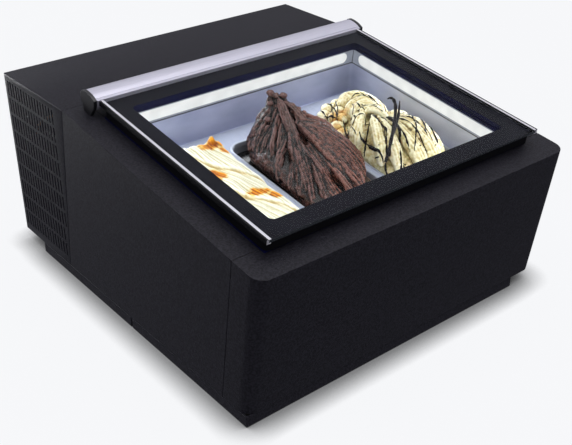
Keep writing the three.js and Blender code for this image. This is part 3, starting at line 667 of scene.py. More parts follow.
# ---------------------------------------------------------------- pans
PAN_CENTRE_S = 227
PAN_PITCH = 173.3
PAN_HALF_WIDTH, PAN_HALF_LENGTH = 82.5, 165
RIM_TOP = -76.7


def pan_outline(x, inset, radius, steps):
    """A round-cornered rectangle, inset from the outside of the pan whose middle is at x."""
    return rounded_outline(x - PAN_HALF_WIDTH + inset, x + PAN_HALF_WIDTH - inset,
                           PAN_CENTRE_S - PAN_HALF_LENGTH + inset, PAN_CENTRE_S + PAN_HALF_LENGTH - inset,
                           radius, steps)


def pan_rings(x):
    """Rounded rectangles down the inside, over the rolled rim and down the outside."""
    rim_radius, least_radius = 29.5, 6
    inner = [(30.5, -119.0), (14.5, -119.0), (9.5, -116), (7.6, -110), (5.9, -8), (5.6, -3.2), (5.0, -1.2),
             (4.0, -0.3), (3.0, 0)]
    rim = [(0.9, 0), (0.25, -0.3), (0.0, -0.9), (0.3, -1.5), (1.0, -1.9)]
    outer = [(4.9, -2.0), (6.0, -3.4), (6.5, -8), (8.4, -110), (10.4, -117.2), (15.2, -120)]
    rings = []
    for inset, drop in inner + rim + outer:
        outline = pan_outline(x, inset, max(rim_radius - inset, least_radius), 8)
        rings.append([(px, ps, RIM_TOP + drop) for px, ps in outline])
    return rings


def pans():
    for name, x in (("left", -PAN_PITCH), ("middle", 0), ("right", PAN_PITCH)):
        bm = loft(pan_rings(x))
        add_piece(f"pan_{name}_pressed", mesh_from(bm, "pan", DECK), materials["stainless_steel"],
                  body_of["pan_" + name], ("pan_" + name,), 40)


pans()


# ---------------------------------------------------------------- ice cream
# Scooped ice cream is built from swept lobes, fused into one skin, or from a rippled height field.
def shape_power(value, power):
    return np.sign(value) * np.abs(value) ** power


def sweep_lobe(path, widths, depths, outward, pitch=4.0, groove=0.7, phase=0.0):
    """A closed tongue along a path in deck millimetres, grooved lengthwise on its outward side."""
    along, around = 44, 72
    route = np.array([tuple(p) for p in spline([Vector(p) for p in path], 12)])
    place = np.linspace(0, 1, along)
    stations = np.linspace(0, 1, len(route))
    centre = np.stack([np.interp(place, stations, route[:, k]) for k in range(3)], 1)
    tangent = np.gradient(centre, axis=0)
    tangent /= np.linalg.norm(tangent, axis=1, keepdims=True)
    side = np.cross(tangent, np.array(outward, float))
    side /= np.linalg.norm(side, axis=1, keepdims=True) + 1e-9
    up = np.cross(side, tangent)
    cap = (1 - np.abs(2 * place - 1) ** 6) ** 0.5 * 0.97 + 0.03
    width = np.interp(place, np.linspace(0, 1, len(widths)), widths) * cap
    depth = np.interp(place, np.linspace(0, 1, len(depths)), depths) * cap
    angle = np.linspace(0, 2 * np.pi, around, endpoint=False)
    lateral = width[:, None] * shape_power(np.cos(angle), 0.9)[None]
    rise = depth[:, None] * shape_power(np.sin(angle), 0.8)[None]
    wave = phase + 1.1 * np.sin(place * 5 + phase)[:, None]
    ridge = np.abs(np.cos(np.pi * lateral / pitch + wave)) - 0.7
    on_top = np.clip(np.sin(angle) * 2.5, 0, 1)[None]
    off_ends = np.clip(cap * 1.5 - 0.4, 0, 1)[:, None]
    rise += groove * ridge * on_top * off_ends
    return centre[:, None] + lateral[..., None] * side[:, None] + rise[..., None] * up[:, None]


def lobes_mesh(lobes):
    """One mesh of all the swept lobes, each closed by its two end caps."""
    vertices, faces = [], []
    for lobe in lobes:
        start = len(vertices)
        along, around, _ = lobe.shape
        vertices.extend(map(tuple, lobe.reshape(-1, 3)))
        for i in range(along - 1):
            for j in range(around):
                a, b = start + i * around + j, start + i * around + (j + 1) % around
                faces.append((a, b, b + around, a + around))
        faces.append(tuple(start + j for j in reversed(range(around))))
        faces.append(tuple(start + (along - 1) * around + j for j in range(around)))
    mesh = bpy.data.meshes.new("lobes")
    mesh.from_pydata(vertices, [], faces)
    return mesh


def fuse(mesh, voxel):
    """One closed skin round everything in the mesh."""
    holder = bpy.data.objects.new("fusing", mesh)
    bpy.context.scene.collection.objects.link(holder)
    remesh = holder.modifiers.new("fuse", "REMESH")
    remesh.mode = "VOXEL"
    remesh.voxel_size = voxel
    bpy.context.view_layer.update()
    evaluated = holder.evaluated_get(bpy.context.evaluated_depsgraph_get())
    skin = bpy.data.meshes.new_from_object(evaluated)
    bpy.data.objects.remove(holder)
    bpy.data.meshes.remove(mesh)
    return skin


def vertex_array(mesh, field):
    values = np.zeros(len(mesh.vertices) * 3, np.float32)
    mesh.vertices.foreach_get(field, values)
    return values.reshape(-1, 3).astype(float)


def neighbour_mean(mesh, values):
    edges = np.zeros(len(mesh.edges) * 2, np.int64)
    mesh.edges.foreach_get("vertices", edges)
    a, b = edges.reshape(-1, 2).T
    total, count = np.zeros_like(values), np.zeros(len(values))
    np.add.at(total, a, values[b])
    np.add.at(total, b, values[a])
    np.add.at(count, a, 1)
    np.add.at(count, b, 1)
    return total / np.maximum(count, 1).reshape(-1, *[1] * (values.ndim - 1))


def roughen(mesh, amount, size):
    """Moves each vertex along its normal by soft noise, in millimetres."""
    def soft_noise(place):
        return noise.noise(Vector(place / size)) + 0.5 * noise.noise(Vector(place / size * 2.7))
    places, normals = vertex_array(mesh, "co"), vertex_array(mesh, "normal")
    shift = amount * np.array([soft_noise(place) for place in places])
    mesh.vertices.foreach_set("co", (places + normals * shift[:, None]).astype(np.float32).ravel())
    mesh.update()


# Smoothing steps for the fine ridges and for whole folds; the hollows of whole folds get painted shade.
RIDGE_STEPS, FOLD_STEPS = 9, 60


def mark_ridges(mesh, gain, fold_gain=0.0):
    """A vertex attribute from 0 in the creases to 1 on the ridges, fine ones and whole folds; the colour ramps on
    it paint shade into the creases and light onto the ridges.
    """
    places, normals = vertex_array(mesh, "co"), vertex_array(mesh, "normal")
    level = 0.5
    smooth = places
    for steps, weight in ((RIDGE_STEPS, gain), (FOLD_STEPS, fold_gain)):
        if not weight:
            continue
        for _ in range(steps):
            smooth = neighbour_mean(mesh, smooth)
        height = np.einsum("ij,ij->i", places - smooth, normals)
        level = level + weight * neighbour_mean(mesh, height)
    set_mask(mesh, "ridge", np.clip(level, 0, 1))


def set_mask(mesh, name, values):
    attribute = mesh.attributes.get(name) or mesh.attributes.new(name, "FLOAT", "POINT")
    attribute.data.foreach_set("value", values.astype(np.float32))


def blob(places, centre, radii, wobble=0.35, size=9.0):
    """A soft-edged mask round a centre, from 1 inside to 0 outside."""
    offset = (places - np.array(centre)) / np.array(radii)
    ragged = np.array([noise.noise(Vector(p / size)) for p in places])
    return np.clip((1.15 - np.linalg.norm(offset, axis=1) + wobble * ragged) * 3.0, 0, 1)


def ice_cream_shader(name, ridge_stops, roughness, extra=(), subsurface=0.15, coat=0.2):
    """Colour from crease to ridge, with painted shade in the creases and painted light on the ridges, and other
    masks painted over in turn.
    """
    ice = Shader(name, ridge_stops[-1][1], roughness, Subsurface_Weight=subsurface, Coat_Weight=coat,
                 Subsurface_Scale=0.004, Coat_Roughness=0.15, Specular_IOR_Level=0.22)
    colour = ice.tint(ice.mask("ridge"), ridge_stops)
    for mask, stops in extra:
        colour = ice.paint_over(colour, ice.mask(mask), stops)
    crystals = ice.grain(0.0016, detail=3)
    ice.vary(crystals, "Roughness", roughness - 0.07, roughness + 0.1)
    ice.bump(crystals, 0.0004, 0.35)
    return ice.material


def ice_piece(name, mesh, material, pan):
    """A piece that moves with its pan; the scoop itself stands in for the CAD node."""
    node = "gelato_" + pan
    mesh.transform(DECK)
    add_piece(f"{node}_{name}", mesh, material, body_of["pan_" + pan],
              (node,) if name == "scoop" else (), 80)


def lower_fill(x, top):
    """The even block of ice cream inside a pan, under the worked surface."""
    rings = []
    for inset, height in ((17, RIM_TOP - 118), (11, RIM_TOP - 112), (9.3, RIM_TOP - 60), (8.0, top)):
        rings.append([(px, ps, height) for px, ps in pan_outline(x, inset, 22, 6)])
    return loft(rings)


def with_fill(skin, x, top):
    bm = lower_fill(x, top)
    bmesh.ops.recalc_face_normals(bm, faces=bm.faces)
    bm.from_mesh(skin)
    joined_mesh = bpy.data.meshes.new("ice")
    bm.to_mesh(joined_mesh)
    bm.free()
    bpy.data.meshes.remove(skin)
    return joined_mesh


def between(guides, t):
    """A path part of the way, t from 0 to 1, through a fan of guide paths."""
    place = t * (len(guides) - 1)
    k = min(int(place), len(guides) - 2)
    return [Vector(a).lerp(Vector(b), place - k) for a, b in zip(guides[k], guides[k + 1])]


def jittered(path, rng, amount):
    """The path with its middle points moved a little; its two ends stay."""
    moved = [point + Vector([rng.uniform(-amount, amount) for _ in range(3)]) for point in path[1:-1]]
    return [path[0], *moved, path[-1]]


def radial(point, centre):
    """Outward and upward from the mound's middle line."""
    out = Vector((point[0] - centre[0], point[1] - centre[1], 0))
    return (out.normalized() * 0.8 + Vector((0, 0, 1))).normalized()


def lump(middle, radius, rng, pitch, groove):
    """A short grooved scrape of ice cream."""
    angle = rng.uniform(0, math.pi)
    reach = Vector((math.cos(angle), math.sin(angle), 0.1)) * radius * 0.8
    middle = Vector(middle)
    path = [middle - reach, middle + Vector((0, 0, radius * 0.2)), middle + reach]
    widths = [radius * 0.5, radius * 0.75, radius * 0.5]
    depths = [radius * 0.45, radius * 0.65, radius * 0.45]
    return sweep_lobe(path, widths, depths, (0, 0, 1), pitch, groove, rng.uniform(0, 3))


def chocolate_lobes():
    rng = random.Random(11)
    crown = (0, 335, 0)
    # the heap under the folds
    lobes = [sweep_lobe(path, widths, depths, (0, 0, 1), 9, 0) for path, widths, depths in (
        ([(0, 84, -94), (0, 160, -88), (0, 300, -74), (0, 376, -92)], [64, 66, 68, 60], [14, 20, 28, 20]),
        ([(-4, 150, -86), (4, 230, -72), (6, 310, -56), (2, 366, -70)], [24, 36, 40, 22], [10, 18, 28, 22]),
        ([(4, 318, -60), (4, 345, -26), (4, 362, -4)], [26, 19, 10], [24, 19, 9]),
    )]
    # two shells of fine ridges, spread from under the peak to the right and the front
    shells = (
        (20, [[(5, 318, -10), (34, 300, -19), (57, 285, -33), (70, 274, -54), (76, 268, -74)],
              [(4, 314, -11), (30, 276, -18), (54, 242, -34), (67, 220, -54), (71, 208, -74)],
              [(2, 312, -12), (14, 262, -20), (28, 216, -38), (35, 184, -59), (38, 168, -76)],
              [(0, 312, -13), (-2, 262, -25), (0, 215, -43), (-1, 180, -61), (-3, 158, -78)]]),
        (8, [[(8, 356, -4), (24, 350, -22), (42, 344, -38), (56, 338, -58), (62, 334, -74)],
              [(6, 330, -5), (32, 314, -15), (55, 298, -28), (69, 288, -50), (74, 282, -72)]]),
    )
    for count, guides in shells:
        for k in range(count):
            path = jittered(between(guides, k / (count - 1)), rng, 1.0)
            lobes.append(sweep_lobe(path, [1.9, 3.4, 4.2, 5.2, 5.2], [4, 7, 8.5, 8.5, 5],
                                    radial(path[3], crown), 9, 0))
    # grooved folds that hang from the peak and its spine down to the left and the front
    falls = [[(-2, 372, -4), (-14, 374, -30), (-28, 376, -52), (-44, 376, -74)],
             [(-5, 364, -4), (-18, 362, -30), (-35, 360, -54), (-56, 358, -76)],
             [(-7, 350, -6), (-24, 340, -33), (-44, 328, -57), (-67, 316, -78)],
             [(-11, 330, -10), (-28, 304, -36), (-48, 278, -58), (-68, 258, -79)],
             [(-13, 306, -17), (-28, 270, -40), (-47, 232, -60), (-66, 200, -79)],
             [(-16, 282, -26), (-28, 244, -46), (-41, 200, -63), (-54, 160, -80)],
             [(-16, 268, -32), (-21, 224, -50), (-25, 180, -65), (-28, 136, -80)],
             [(-4, 268, -28), (-4, 224, -46), (-3, 180, -62), (-2, 130, -80)],
             [(6, 268, -24), (14, 224, -40), (19, 186, -56), (22, 140, -79)]]
    for k in range(15):
        path = jittered(between(falls, (k + rng.uniform(-0.25, 0.25)) / 14 % 1), rng, 5.5)
        size = rng.uniform(0.85, 1.35)
        lobes.append(sweep_lobe(path, [4 * size, 6.5 * size, 8 * size, 8], [5, 7 * size, 8.5 * size, 6],
                                radial(path[2], crown), rng.uniform(5.5, 7.5), 2.8, rng.uniform(0, 3)))
    for _ in range(34):
        whole = jittered(between(falls, rng.random()), rng, 6)
        start, stop = rng.uniform(0.1, 0.55), rng.uniform(0.55, 0.95)
        route = spline(whole, 10)
        part = route[int(start * 30):int(stop * 30) + 2]
        lift = radial(part[0], crown) * rng.uniform(4.5, 8.5)
        path = [part[0] + lift * 0.4, part[len(part) // 2] + lift, part[-1] + lift * 0.6]
        size = rng.uniform(0.7, 1.3)
        lobes.append(sweep_lobe(path, [2.5, 6 * size, 4 * size], [3, 5.5 * size, 4 * size],
                                radial(part[-1], crown), 4.6, 1.9, rng.uniform(0, 3)))
    # the pulled-up crest, its knobs, and the tongue folded over to the front
    crest = [
        ([(0, 372, -36), (0, 375, -12), (0, 378, 6)], [13, 9, 4.5], [12, 8, 4.5], (-0.6, -0.6, 0.4)),
        ([(12, 352, -30), (14, 356, -10), (14, 361, 5)], [11, 8, 4.5], [10, 8, 4.5], (0.6, -0.6, 0.4)),
        ([(5, 362, -36), (6, 365, -14), (7, 368, 0)], [16, 13, 8], [13, 10, 6], (-0.4, -0.8, 0.4)),
        ([(-6, 350, -34), (-4, 354, -16), (0, 360, -4)], [13, 10, 6], [10, 9, 5], (-0.6, -0.8, 0.3)),
        ([(-12, 360, -38), (-10, 364, -16), (-5, 372, 0)], [10, 7, 4], [9, 6, 4], (-0.9, -0.2, 0.3)),
        ([(0, 377, 6), (7, 369, 4), (14, 361, 6)], [4.5, 4, 4.5], [4, 4, 4.5], (0, 0, 1)),
        ([(6, 364, 4), (-3, 344, 1), (-11, 316, -11), (-18, 284, -29), (-27, 250, -46)],
         [3.5, 7, 9, 8, 6], [3, 5, 7, 7, 5], (-0.5, -0.5, 0.8)),
        ([(10, 354, 2), (16, 332, -5), (14, 306, -14), (8, 276, -24)],
         [4, 8, 9, 7], [4, 6, 7, 6], (0.1, -0.5, 0.9)),
    ]
    for path, widths, depths, out in crest:
        lobes.append(sweep_lobe(path, widths, depths, out, 4.4, 1.4, rng.uniform(0, 3)))
    for place, radius in (((0, 379, 7), 8), ((14, 361, 7), 8), ((8, 372, 5), 6), ((22, 330, -6), 6.5),
                          ((26, 320, -8), 6), ((19, 342, -3), 6), ((-9, 366, -4), 7), ((-22, 352, -24), 8)):
        lobes.append(lump(place, radius, rng, 9, 0))
    return lobes


def chocolate_mound():
    """Folds and fans of dark chocolate, painted lighter and warmer towards the right and the front as painted
    light, and dark in the creases as painted shade.
    """
    skin = fuse(lobes_mesh(chocolate_lobes()), 1.05)
    roughen(skin, 1.1, 7.0)
    roughen(skin, 0.4, 2.2)
    # Creases and the hollows of whole folds get painted shade, the ridges painted light.
    mark_ridges(skin, 0.42, 0.14)
    # The right and the front are painted lighter and warmer as painted light; the left and rear keep the darker
    # colours as painted shade.
    places = vertex_array(skin, "co")
    set_mask(skin, "painted_lit_side", np.clip((places[:, 0] + 0.35 * (300 - places[:, 1]) + 2) / 26, 0, 1))
    shaded = [(0.22, (0.0010, 0.0004, 0.0005)), (0.45, (0.0080, 0.0028, 0.0022)),
              (0.68, (0.050, 0.018, 0.013)), (0.95, (0.115, 0.056, 0.050))]
    painted_lit_side = [(0.22, (0.0020, 0.0006, 0.0005)), (0.45, (0.0300, 0.0085, 0.0052)),
            (0.68, (0.118, 0.040, 0.026)), (0.95, (0.200, 0.088, 0.070))]
    material = ice_cream_shader("dark_chocolate", shaded, 0.24, [("painted_lit_side", painted_lit_side)], 0.03, 0.3)
    ice_piece("scoop", with_fill(skin, 0, -95), material, "middle")


def stracciatella_lobes():
    rng = random.Random(5)
    x0 = PAN_PITCH
    lobes = [sweep_lobe(path, widths, depths, (0, 0, 1), 9, 0) for path, widths, depths in (
        ([(x0, 80, -96), (x0, 160, -88), (x0, 300, -78), (x0, 376, -92)],
         [62, 66, 68, 60], [14, 20, 22, 16]),
        ([(x0 - 8, 140, -88), (x0 - 6, 200, -72), (x0 - 4, 290, -66), (x0, 350, -74)],
         [34, 44, 44, 32], [14, 20, 20, 14]),
    )]
    fan = [[(146, 300, -33), (122, 290, -35), (105, 276, -50), (99, 268, -73)],
           [(146, 288, -29), (124, 262, -33), (107, 240, -50), (100, 228, -73)],
           [(150, 276, -27), (131, 240, -31), (115, 208, -48), (106, 186, -74)],
           [(156, 266, -27), (144, 222, -29), (132, 182, -45), (124, 152, -75)],
           [(164, 258, -27), (166, 212, -29), (164, 168, -44), (160, 130, -75)],
           [(172, 256, -28), (188, 218, -31), (196, 176, -47), (200, 140, -75)],
           [(178, 260, -30), (201, 236, -35), (216, 206, -52), (226, 180, -74)],
           [(182, 270, -34), (206, 258, -42), (224, 244, -58), (232, 232, -74)]]
    sizes = {0.03: 14, 0.24: 13, 0.36: 12, 0.52: 15, 0.64: 18, 0.76: 19, 0.9: 16, 1.0: 12}
    for t, size in sizes.items():
        path = jittered(between(fan, t), rng, 2)
        lobes.append(sweep_lobe(path, [size * 0.35, size * 0.75, size * 0.9, size * 0.7], [6, 12, 13, 8],
                                radial(path[2], (160, 260, 0)), 5.6, 1.3, rng.uniform(0, 3)))
    # broad folds laid over one another behind the knot, and loose scrapes at the rear left
    for path, size in (
        ([(140, 350, -66), (160, 360, -52), (184, 356, -46), (208, 340, -50), (220, 316, -64)], 20),
        ([(138, 322, -60), (154, 334, -46), (176, 334, -40), (198, 320, -44), (210, 296, -58)], 17),
        ([(134, 304, -50), (146, 314, -37), (164, 314, -32), (182, 300, -35), (192, 280, -46)], 13),
        ([(138, 290, -42), (148, 298, -30), (160, 296, -26), (170, 284, -28), (174, 268, -36)], 9),
        ([(204, 300, -56), (218, 276, -52), (226, 250, -58)], 17),
    ):
        route = jittered([Vector(point) for point in path], rng, 2)
        widths = [size * 0.5, size, size, size * 0.6]
        depths = [6, size * 0.62, size * 0.62, 6]
        lobes.append(sweep_lobe(route, widths, depths, (0, -0.15, 1), 5.0, 1.05, rng.uniform(0, 3)))
    for place, radius in (((118, 364, -67), 17), ((136, 374, -65), 18), ((160, 374, -64), 20),
                          ((124, 344, -63), 17), ((142, 354, -60), 16), ((112, 324, -66), 16),
                          ((108, 302, -66), 14), ((190, 368, -64), 18), ((128, 332, -57), 13),
                          ((214, 352, -62), 18)):
        lobes.append(lump(place, radius, rng, 4.4, 0.9))
    return lobes


ABOVE_ALL = 40
DRIZZLE = (
    # each strand of chocolate on the surface: its width, and where it runs in x and s
    (2.6, [(100, 246), (100, 222), (98, 200), (100, 172)]),
    (2.4, [(122, 182), (116, 166), (112, 150)]),
    (1.2, [(212, 233), (197, 200), (182, 166)]),
    (1.3, [(198, 235), (176, 202), (142, 168)]),
    (1.2, [(130, 317), (104, 286), (98, 262)]),
    (1.1, [(143, 283), (151, 315), (154, 338)]),
    (1.2, [(139, 270), (134, 238), (110, 200)]),
    (1.0, [(194, 362), (193, 337), (185, 304)]),
    (1.2, [(135, 380), (136, 361), (114, 326)]),
    (1.2, [(115, 377), (112, 355), (116, 340)]),
    (1.4, [(148, 262), (150, 232), (148, 204), (140, 176)]),
    (1.0, [(206, 262), (224, 240), (230, 214), (226, 190)]),
    (1.6, [(129, 328), (104, 294), (92, 266), (96, 240)]),
    (1.0, [(165, 352), (183, 357), (192, 342), (194, 314), (191, 285)]),
    (0.8, [(172, 344), (186, 340), (190, 320), (186, 298)]),
    (1.1, [(155, 380), (137, 353), (116, 330)]),
    (0.9, [(146, 382), (128, 356), (112, 336)]),
    (1.1, [(120, 382), (112, 362), (114, 342), (122, 330)]),
    (1.5, [(146, 280), (136, 256), (131, 228), (110, 198), (106, 170)]),
    (1.3, [(145, 278), (118, 256), (98, 232), (94, 212)]),
    (1.0, [(148, 284), (122, 286), (100, 278)]),
    (2.2, [(160, 262), (154, 230), (142, 200), (128, 172), (122, 150)]),
    (1.2, [(178, 246), (189, 226), (189, 200), (180, 176)]),
    (1.8, [(222, 226), (212, 202), (204, 180), (196, 158)]),
    (0.9, [(213, 238), (204, 210), (190, 186)]),
    (1.1, [(153, 330), (124, 302), (112, 282)]),
    (1.0, [(200, 262), (210, 236), (216, 212), (214, 186)]),
    (1.3, [(152, 270), (166, 244), (172, 214), (168, 180), (160, 150)]),
    (0.8, [(160, 300), (176, 292), (190, 272), (198, 250)]),
    (0.9, [(140, 312), (152, 306), (164, 294), (170, 276)]),
    (0.7, [(206, 346), (212, 326), (208, 304), (200, 286)]),
    (2.4, [(104, 262), (100, 240), (100, 220), (104, 196)]),
)


def tube(points, normals, radii, around=8):
    """A closed round strand along points, each ring square to the strand."""
    rings = []
    for i, (point, normal) in enumerate(zip(points, normals)):
        tangent = (points[min(i + 1, len(points) - 1)] - points[max(i - 1, 0)]).normalized()
        side = tangent.cross(normal).normalized()
        up = side.cross(tangent)
        rings.append([point + radii[i] * (math.cos(a) * side + math.sin(a) * up)
                      for a in (2 * math.pi * k / around for k in range(around))])
    return loft(rings)


def drizzle(skin_tree, strands):
    """Strands that lie on the surface below their paths."""
    parts = []
    for width, path in strands:
        points, normals, radii = [], [], []
        route = spline([Vector((x, s, ABOVE_ALL)) for x, s in path], 14)
        for i, above in enumerate(route):
            hit, normal, _, _ = skin_tree.ray_cast(above, Vector((0, 0, -1)))
            if hit is None:
                continue
            place = i / (len(route) - 1)
            taper = min(1.0, 6 * place + 0.25, 6 * (1 - place) + 0.25)
            points.append(hit + normal * 0.2 * width)
            normals.append(normal)
            radii.append(1.15 * width * taper * (0.85 + 0.9 * noise.noise(hit / 8)))
        for _ in range(2):
            middle = [(a + 2 * b + c) / 4 for a, b, c in zip(points, points[1:], points[2:])]
            points = [points[0], *middle, points[-1]]
        parts.append(tube(points, normals, radii))
    return joined(parts)


def crumbs(skin_tree, count, rng, zone):
    """Chocolate chips of uneven shape, scattered over the surface."""
    parts = []
    for _ in range(count):
        above = Vector((rng.uniform(zone[0], zone[1]), rng.uniform(zone[2], zone[3]), ABOVE_ALL))
        hit, _, _, _ = skin_tree.ray_cast(above, Vector((0, 0, -1)))
        if hit is None:
            continue
        bm = bmesh.new()
        bmesh.ops.create_icosphere(bm, subdivisions=2, radius=1)
        size = rng.uniform(0.7, 1.7)
        stretch = Vector((rng.uniform(0.7, 1.6), rng.uniform(0.7, 1.6), 0.6)) * size
        for vert in bm.verts:
            bulge = 1 + 0.35 * noise.noise(vert.co * 1.7 + hit)
            vert.co = hit + Vector(a * b for a, b in zip(vert.co * bulge, stretch))
        parts.append(bm)
    return joined(parts)


PODS = (
    # two vanilla pods stood in the scoop, one hooked at its tip
    (2.9, [(88, 174, -34), (97, 183, -23), (109, 193, -12), (131, 212, -1), (152, 233, 7.5),
           (161, 245, 10.5), (165, 254, 11.5), (164, 260, 10.5), (160, 261, 9)]),
    (2.5, [(76, 168, -38), (90, 178, -26), (106, 190, -15), (140, 214, -1), (160, 232, 6.5),
           (172, 244, 10)]),
)


def vanilla_pods():
    parts = []
    for width, path in PODS:
        route = spline([Vector(p) for p in path], 14)
        places = [i / (len(route) - 1) for i in range(len(route))]
        taper = [min(1.0, 0.3 + 2.2 * (1 - place)) for place in places]
        radii = [width * slim * (1 + 0.12 * math.sin(40 * place)) for slim, place in zip(taper, places)]
        parts.append(tube(route, [Vector((0.5, -0.8, 0.3))] * len(route), radii, 12))
    return joined(parts)


def stracciatella_mound():
    """The cream heap with its chocolate strands and chips and its two vanilla pods."""
    skin = fuse(lobes_mesh(stracciatella_lobes()), 1.15)
    roughen(skin, 1.2, 9.0)
    roughen(skin, 0.4, 3.0)
    mark_ridges(skin, 0.36, 0.05)
    places = vertex_array(skin, "co")
    swirls = ((126, 338, -50), (20, 13, 26)), ((106, 308, -54), (9, 16, 24))
    set_mask(skin, "caramel", np.max([blob(places, *swirl) for swirl in swirls], axis=0))
    # Ramped from crease to ridge: the dark creams are painted shade in the creases, the pale ones painted light on
    # the ridges; the caramel ramp does the same over its swirls.
    cream = [(0.2, (0.13, 0.08, 0.02)), (0.5, (0.62, 0.51, 0.23)), (0.75, (0.92, 0.87, 0.62))]
    caramel = [(0.2, (0.16, 0.06, 0.008)), (0.5, (0.46, 0.22, 0.04)), (0.85, (0.80, 0.56, 0.20))]
    material = ice_cream_shader("stracciatella", cream, 0.4, [("caramel", caramel)], 0.06)
    rng = random.Random(23)
    corners = [v.co.copy() for v in skin.vertices]
    tree = BVHTree.FromPolygons(corners, [tuple(p.vertices) for p in skin.polygons])
    sauce = Shader("chocolate_sauce", (0.006, 0.004, 0.006), 0.25, Coat_Weight=0.12,
                   Specular_IOR_Level=0.15)
    thickness = sauce.grain(0.006)
    sauce.tint(thickness, [(0.35, (0.004, 0.003, 0.005)), (0.7, (0.011, 0.007, 0.008))])
    sauce.vary(thickness, "Roughness", 0.14, 0.3)
    ice_piece("sauce", mesh_from(drizzle(tree, DRIZZLE), "sauce"), sauce.material, "right")
    chips = crumbs(tree, 46, rng, (100, 232, 150, 384))
    ice_piece("crumbs", mesh_from(chips, "crumbs"), sauce.material, "right")
    pod = Shader("vanilla_pod", (0.008, 0.006, 0.008), 0.45, Coat_Weight=0.04, Specular_IOR_Level=0.12)
    wrinkles = pod.grain(0.0016, stretch=(1, 1, 5), detail=4)
    pod.tint(wrinkles, [(0.35, (0.004, 0.003, 0.005)), (0.7, (0.014, 0.010, 0.012))])
    pod.bump(wrinkles, 0.0005, 0.8)
    ice_piece("pods", mesh_from(vanilla_pods(), "pods"), pod.material, "right")
    ice_piece("scoop", with_fill(skin, PAN_PITCH, -95), material, "right")


def cream_height(x, s):
    """Overlapping waves, grooved lengthwise and highest at their front edges; x is from the middle."""
    skew = s + 1.5 * x + 7 * np.sin(x / 17)
    turn = (skew - 268) / 102
    index, wave = np.floor(turn), turn - np.floor(turn)
    shingle = 5.5 * (1 - wave) ** 1.1 * np.clip(wave / 0.05, 0, 1) ** 0.5
    crown = 16 * (1 - (np.abs(x) / 82) ** 5) + 10 * np.clip((s - 300) / 90, 0, 1) ** 1.5
    line = x + 22 * wave ** 3 + 0.1 * (s - 230) + 3 * np.sin(index * 2.1)
    grooves = 2.0 * np.abs(np.cos(math.pi * line / 7.0)) + 0.9 * np.cos(2 * math.pi * line / 21 + index)
    return crown + shingle + grooves, wave


def cream_waves():
    """A height field over the left pan, tucked in below the rim and closed underneath."""
    x0, half_w, front, rear, pitch = -PAN_PITCH, 80.5, 66, 390, 1.0
    columns, rows = int(2 * half_w / pitch) + 1, int((rear - front) / pitch) + 1
    x, s = np.meshgrid(np.linspace(-half_w, half_w, columns), np.linspace(front, rear, rows))
    height, wave = cream_height(x, s)
    sway = np.array([noise.noise(Vector((a / 26, b / 36, 0.3))) for a, b in zip(x.ravel(), s.ravel())])
    fine = np.array([noise.noise(Vector((a / 4, b / 7, 0.7))) for a, b in zip(x.ravel(), s.ravel())])
    height += 5 * sway.reshape(x.shape) + 0.5 * fine.reshape(x.shape)
    edge = np.clip((half_w - np.abs(x)) / 9, 0, 1) * np.clip(np.minimum(s - front, rear - s) / 12, 0, 1)
    height = RIM_TOP + 0.6 + (height - 1) * (1 - (1 - edge) ** 2.2) ** 0.6
    height += 14 * np.exp(-(((x - 57) / 6) ** 2 + ((s - 382) / 6.5) ** 2) ** 1.4)
    bm = bmesh.new()
    grid = [[bm.verts.new((x0 + a, b, h)) for a, b, h in zip(*row)] for row in zip(x, s, height)]
    for i in range(rows - 1):
        for j in range(columns - 1):
            bm.faces.new((grid[i][j], grid[i][j + 1], grid[i + 1][j + 1], grid[i + 1][j]))
    right, left = [row[-1] for row in grid[1:]], [row[0] for row in grid[-2:0:-1]]
    border = [*grid[0], *right, *grid[-1][-2::-1], *left]
    middle = Vector((x0, PAN_CENTRE_S, 0))
    for tuck, level in ((0.91, RIM_TOP - 2), (0.90, -95)):
        ring = [bm.verts.new((middle.x + tuck * (v.co.x - middle.x),
                              middle.y + (tuck + 0.04) * (v.co.y - middle.y), level)) for v in border]
        bridge(bm, ring, border)
        border = ring
    bm.faces.new(border[::-1])
    mesh = mesh_from(bm, "cream")
    mark_ridges(mesh, 0.5)
    places = vertex_array(mesh, "co")
    swirls = [blob(places, centre, radii, 0.55, 7) for centre, radii in (
        ((-122, 374, -50), (24, 9, 16)), ((-105, 359, -52), (9, 10, 16)), ((-157, 302, -54), (11, 16, 18)),
        ((-129, 232, -56), (22, 10, 18)), ((-112, 214, -58), (11, 10, 18)), ((-205, 330, -58), (16, 9, 14)),
        ((-204, 200, -60), (18, 9, 14)), ((-160, 120, -60), (20, 8, 14)))]
    caramel = np.max(swirls, axis=0)
    set_mask(mesh, "caramel", caramel)
    halo = caramel
    halo_steps = 14
    for _ in range(halo_steps):
        halo = neighbour_mean(mesh, halo)
    _, wave = cream_height(places[:, 0] - x0, places[:, 1])
    crease = 0.45 * np.clip(1 - (1 - wave) / 0.10, 0, 1) * (places[:, 2] > RIM_TOP)
    set_mask(mesh, "fold", np.maximum(crease, np.clip(2.4 * halo, 0, 0.9)))
    # Ramped from crease to ridge: the tan is painted shade in the grooves and creases, the palest cream painted
    # light on the ridges.
    cream = [(0.15, (0.46, 0.40, 0.20)), (0.5, (0.70, 0.68, 0.51)), (0.8, (0.82, 0.81, 0.71))]
    syrup = [(0.2, (0.56, 0.32, 0.03)), (0.8, (0.86, 0.64, 0.18))]
    dark_syrup = [(0.2, (0.18, 0.03, 0.0)), (0.5, (0.48, 0.135, 0.0)), (0.8, (0.80, 0.34, 0.01))]
    material = ice_cream_shader("cream", cream, 0.4, [("fold", syrup), ("caramel", dark_syrup)], 0.0)
    ice_piece("scoop", with_fill(mesh, x0, -94), material, "left")


def ice_cream():
    cream_waves()
    chocolate_mound()
    stracciatella_mound()


ice_cream()


